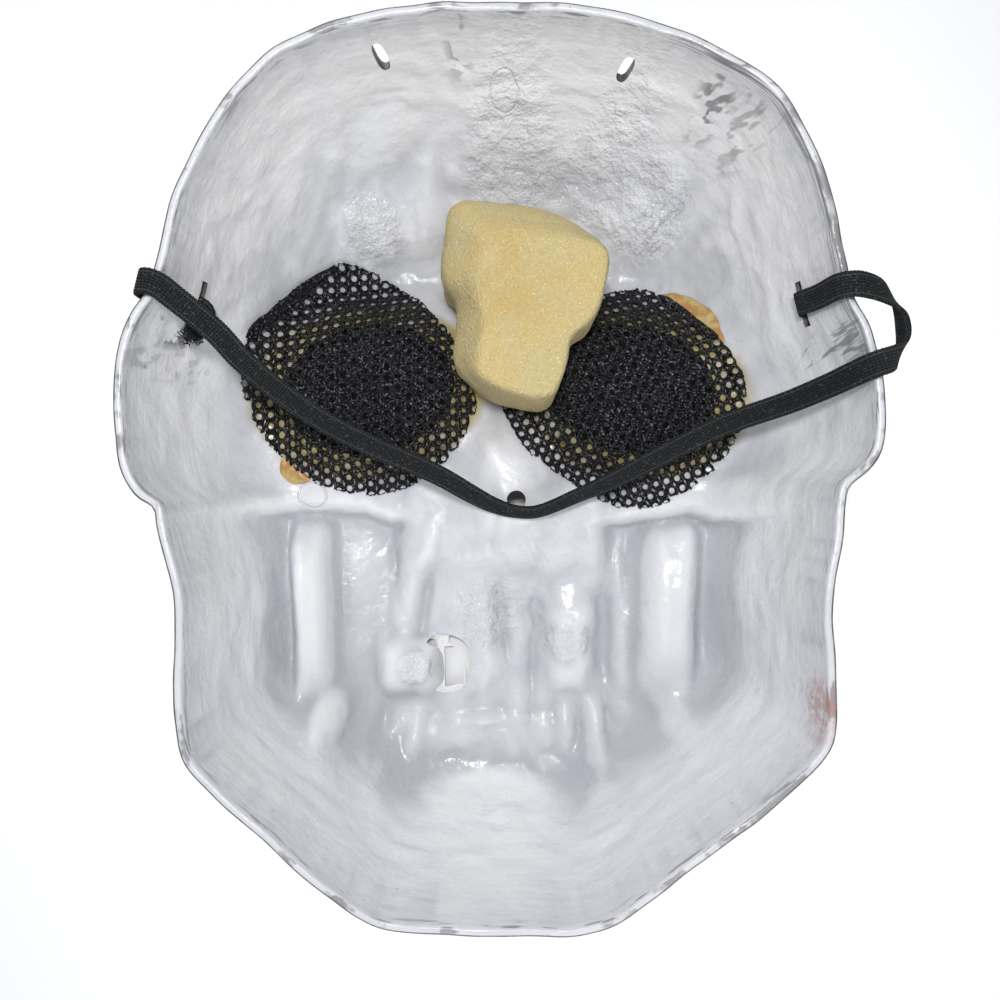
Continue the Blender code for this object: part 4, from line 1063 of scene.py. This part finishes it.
wander = 0.00045 * lumps(foam_verts, 90.0, 9.0) + 0.00012 * lumps(foam_verts, 700.0, 1.0)
wander_y = 0.00030 * lumps(foam_verts, 200.0, 4.0)
foam_verts = foam_verts + np.c_[wander, wander_y, -np.abs(wander) - 0.0003]
brow_foam = piece_from("brow_foam_block", foam_verts, foam_faces, (cream_foam,))
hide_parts("brow_foam")

# One flat braided elastic holds the mask on. Its frayed end is sewn in the left slit, it goes
# over the rim and sags in a V across the hollow, out over the right rim in a bight, and back
# in to the right slit, where a knot outside holds it.
STRAP_WIDTH = 0.0070
STRAP_THICKNESS = 0.0012
STRAP_ROUTE = (
    (-0.0868, 0.0405, 0.0255, 76, 0), (-0.0862, 0.0440, 0.0240, 76, 0),
    (-0.0866, 0.0468, 0.0226, 76, 0), (-0.0885, 0.0482, 0.0220, 76, 0),
    (-0.0920, 0.0485, 0.0219, 76, 0), (-0.0941, 0.0487, 0.0195, 76, 0),
    (-0.0947, 0.0488, 0.0120, 76, 0), (-0.0950, 0.0489, 0.0030, 76, 0),
    (-0.0942, 0.0489, -0.0013, 76, 0), (-0.0915, 0.0488, -0.0022, 76, 0),
    (-0.0892, 0.0480, -0.0013, 70, 0), (-0.0870, 0.0463, 0.0008, 56, 0),
    (-0.0785, 0.0385, 0.0100, 43, 0), (-0.0730, 0.0315, 0.0165, 43, 2),
    (-0.0641, 0.0233, 0.0250, 51, 5), (-0.0536, 0.0159, 0.0330, 59, 8),
    (-0.0404, 0.0090, 0.0400, 65, 10), (-0.0289, 0.0042, 0.0445, 66, 12),
    (-0.0189, -0.0005, 0.0475, 63, 18), (-0.0099, -0.0057, 0.0500, 62, 28),
    (-0.0026, -0.0095, 0.0513, 68, 42), (0.0050, -0.0118, 0.0520, 82, 54),
    (0.0133, -0.0116, 0.0520, 99, 54), (0.0257, -0.0065, 0.0510, 114, 48),
    (0.0328, -0.0034, 0.0498, 116, 40), (0.0416, 0.0009, 0.0470, 118, 26),
    (0.0627, 0.0121, 0.0385, 115, 10), (0.0734, 0.0168, 0.0330, 111, 8),
    (0.0842, 0.0205, 0.0240, 112, 5), (0.0908, 0.0235, 0.0130, 114, 3),
    (0.0942, 0.0255, 0.0045, 114, 1), (0.0965, 0.0268, -0.0004, 108, 0),
    (0.0992, 0.0278, -0.0022, 100, 0), (0.1030, 0.0293, -0.0008, 90, 15),
    (0.1062, 0.0325, 0.0015, 90, 60), (0.1070, 0.0375, 0.0025, 90, 90),
    (0.1052, 0.0425, 0.0015, 90, 120), (0.0998, 0.0465, -0.0006, 90, 165),
    (0.0945, 0.0478, -0.0021, 92, 180), (0.0912, 0.0480, -0.0021, 98, 180),
    (0.0888, 0.0481, 0.0012, 104, 180), (0.0880, 0.0482, 0.0110, 104, 180),
    (0.0861, 0.0484, 0.0190, 104, 180), (0.0870, 0.0485, 0.0217, 104, 180),
    (0.0895, 0.0486, 0.0220, 100, 180), (0.0935, 0.0487, 0.0220, 90, 180),
)
ROUTE_STEPS = 24
RIBS = 9
RIB_POINTS = 4
RIB_COUNT = RIBS * RIB_POINTS
BRAID_STEP = 0.00045
EDGE_SAW = 0.955

black_elastic, shader, place = new_finish("black_elastic")
braid = place.make("UVMap", {"uv_map": "braid"})
across, along, _ = braid.parts()
rib_wave = place.make("Math", {"operation": "COSINE"}, {0: across * (2 * math.pi * RIBS)})
slant = along * 7000.0
zigzag = place.make("Math", {"operation": "SINE"}, {0: slant + rib_wave * 1.6})
lint = place.speckle(1300.0, 3.0, 0.7)
edge_line = (across - 0.5) * (across - 0.5)
ridge_highlight = edge_line.between(0.085, 0.115) * edge_line.between(0.160, 0.125)
black = place.colours((0.006, 0.007, 0.008), (0.022, 0.026, 0.028), zigzag.between(-0.2, 0.9) * 0.8)
# The rib crests and the ridges near both edges are painted lighter: painted highlights.
black = black.tint((0.050, 0.056, 0.060), rib_wave.between(-0.6, -1.0) * 0.45)
black = black.tint((0.085, 0.092, 0.096), ridge_highlight * 0.40)
black = black.tint((0.20, 0.21, 0.21), lint.between(0.58, 0.68) * 0.45)
dress(shader, place, black, 0.7, zigzag * 0.35 + lint - rib_wave * 0.4, 0.00035, 0.9)
shader.inputs["Specular IOR Level"].default_value = 0.22


def open_spline(points, steps):
    """Rows along a smooth curve through the given rows."""
    points = np.array(points, float)
    first, final = 2 * points[:1] - points[1:2], 2 * points[-1:] - points[-2:-1]
    points = np.concatenate([first, points, final])
    share = np.linspace(0, 1, steps, endpoint=False)[:, None]
    runs = [smooth_run(*four, share) for four in zip(points, points[1:], points[2:], points[3:])]
    return np.concatenate([*runs, points[-2:-1]])


route = open_spline(STRAP_ROUTE, ROUTE_STEPS)
route_points = np.c_[route[:, 0], route[:, 1], RIM_Z - route[:, 2]]
run = np.concatenate([[0], np.cumsum(np.linalg.norm(np.diff(route_points, axis=0), axis=1))])
strap_length = float(run[-1])
steps = int(strap_length / BRAID_STEP)
at = np.linspace(0, strap_length, steps)
line = np.stack([np.interp(at, run, route_points[:, i]) for i in range(3)], axis=1)
turn = np.radians(np.interp(at, run, route[:, 3]))
lean = np.radians(np.interp(at, run, route[:, 4]))
heading = np.gradient(line, axis=0)
heading /= np.linalg.norm(heading, axis=1, keepdims=True)
level = np.cos(lean)
sideways = np.stack([np.cos(turn) * level, np.sin(turn) * level, np.sin(lean)], axis=1)
sideways -= heading * np.sum(sideways * heading, axis=1, keepdims=True)
sideways /= np.linalg.norm(sideways, axis=1, keepdims=True)
upward = np.cross(heading, sideways)
saw = np.where(np.arange(steps) % 2 == 0, 1.0, EDGE_SAW)
section = []
for half in (1, -1):
    for i in range(RIB_COUNT + 1):
        share = half * (1 - 2 * i / RIB_COUNT)
        rib = abs(math.sin(math.pi * i / RIB_POINTS)) ** 0.6
        slim = 0.55 + 0.45 * min(1.0, (1 - abs(share)) * 5)
        section.append((share, half * slim * (0.72 + 0.28 * rib), (share + 1) / 2))
section = section[:-1]
strap_rings = []
for share, height, _ in section:
    wide = share * STRAP_WIDTH / 2 * np.where(abs(share) > 0.9, saw, 1.0)
    strap_rings.append(line + wide[:, None] * sideways + height * STRAP_THICKNESS / 2 * upward)
strap_rings = np.stack(strap_rings, axis=1)
sides = len(section)
strap_faces = ring_faces(steps, sides)
strap_faces += [tuple(range(sides)), tuple((steps - 1) * sides + i for i in range(sides))]
elastic = piece_from("braided_elastic", strap_rings.reshape(-1, 3), strap_faces, (black_elastic,))
braid_map = elastic.data.uv_layers.new(name="braid")
corner_verts = np.zeros(len(elastic.data.loops), int)
elastic.data.loops.foreach_get("vertex_index", corner_verts)
shares_across = np.array([s[2] for s in section])
braid_uv = np.c_[shares_across[corner_verts % sides], at[corner_verts // sides]]
braid_map.data.foreach_set("uv", braid_uv.ravel().astype(np.float32))
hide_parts("elastic_strap")

# The knot outside the right slit is the elastic's own end, pulled tight into a small ball.
KNOT_SIZE = (0.0070, 0.0100, 0.0080)
KNOT_STRAND = 0.00135
knot_low, knot_high = (np.array(c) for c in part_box("strap_knot"))
knot_middle = (knot_low + knot_high) / 2
turns = all_round(160)
knot_line = np.c_[np.cos(3 * turns) * 0.9, np.sin(turns) + 2 * np.sin(2 * turns),
                  np.cos(turns) - 2 * np.cos(2 * turns)]
knot_line *= np.array([0.30, 0.19, 0.19]) * KNOT_SIZE


def elastic_threads(name, half_thickness, roundness):
    """A curve that any number of round threads can be laid in."""
    threads = bpy.data.curves.new(name, "CURVE")
    threads.dimensions = "3D"
    threads.bevel_depth = half_thickness
    threads.bevel_resolution = roundness
    threads.materials.append(black_elastic)
    return threads


def lay_thread(threads, places):
    strand = threads.splines.new("POLY")
    strand.points.add(len(places) - 1)
    for point, place_at in zip(strand.points, places):
        point.co = (*place_at, 1)
    return strand


knot_curve = elastic_threads("knot", KNOT_STRAND, 4)
lay_thread(knot_curve, knot_line + knot_middle).use_cyclic_u = True
knot = set_out("elastic_knot", knot_curve)
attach(knot, "root")
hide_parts("strap_knot")

# Loose threads stand out of the elastic's frayed end beside the left slit.
FRAY_PLACE = (-0.0890, 0.0405)
FRAY_DROP = 0.0205
FRAY_THREADS = 150
FRAY_STRAND = 0.00014

draw = random.Random(5)
fray_curve = elastic_threads("fray", FRAY_STRAND, 1)
for _ in range(FRAY_THREADS):
    bearing = draw.uniform(-2.6, 0.6)
    reach = draw.uniform(0.0012, 0.0042)
    start = Vector((FRAY_PLACE[0] + draw.uniform(-0.0016, 0.0012),
                    FRAY_PLACE[1] + draw.uniform(-0.0010, 0.0030), RIM_Z - FRAY_DROP))
    places = []
    for share in (0, 1 / 5, 2 / 5, 3 / 5, 4 / 5, 1):
        curl = bearing + draw.uniform(-0.5, 0.5) * share
        way = Vector((math.cos(curl), math.sin(curl), draw.uniform(-0.2, 0.5)))
        places.append(start + way * reach * share)
    lay_thread(fray_curve, places)
fray = set_out("frayed_end", fray_curve)
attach(fray, "root")

# The mask lies on a plain pale floor that gives off a little light outside the mask's outline,
# in a pale room with three lamps: one near the camera, one over the crown's left and a low one
# over the chin.
FLOOR_REACH = 3.0
FLOOR_GLOW = 0.24
ROOM_COLOUR = (0.93, 0.96, 1.0, 1)
ROOM_LIGHT = 0.29
LAMP_AIM = (0, 0, 0.03)
LAMPS = (
    ("key", (-0.01, 0.06, 0.42), 0.05, 0.95, (1, 1, 1)),
    ("fill", (-0.25, 0.40, 0.45), 0.30, 0.60, (0.95, 0.97, 1.0)),
    ("low_fill", (0.10, -0.42, 0.40), 0.35, 1.05, (1, 1, 1)),
)

floor_paint, shader, place = new_finish("pale_floor")
shader.inputs["Base Color"].default_value = (0.90, 0.90, 0.91, 1)
shader.inputs["Roughness"].default_value = 0.8
under_mask = oval_reach(*place.parts()[:2], (0, 0), (RIM_WIDTH, RIM_HEIGHT), 0)
glow = under_mask.between(0.80, 1.00)
place.feed(shader.inputs["Emission Color"], place.colours((0, 0, 0), (1, 1, 1), glow))
shader.inputs["Emission Strength"].default_value = FLOOR_GLOW
corners = [(x * FLOOR_REACH, y * FLOOR_REACH, 0) for x, y in ((-1, -1), (1, -1), (1, 1), (-1, 1))]
floor_mesh = bpy.data.meshes.new("floor")
floor_mesh.from_pydata(corners, [], [(0, 1, 2, 3)])
floor_mesh.materials.append(floor_paint)
floor = set_out("floor", floor_mesh)

world = bpy.data.worlds.new("studio")
bpy.context.scene.world = world
world.use_nodes = True
room = world.node_tree.nodes["Background"]
room.inputs["Color"].default_value = ROOM_COLOUR
room.inputs["Strength"].default_value = ROOM_LIGHT
bpy.context.scene.view_settings.view_transform = "Standard"

for name, place_at, size, power, colour in LAMPS:
    lamp = bpy.data.lights.new(name, "AREA")
    lamp.size = size
    lamp.energy = power
    lamp.color = colour
    light = set_out(name, lamp)
    light.location = place_at
    aim = Vector(LAMP_AIM) - Vector(place_at)
    light.rotation_euler = aim.to_track_quat("-Z", "Y").to_euler()
    light.visible_camera = False
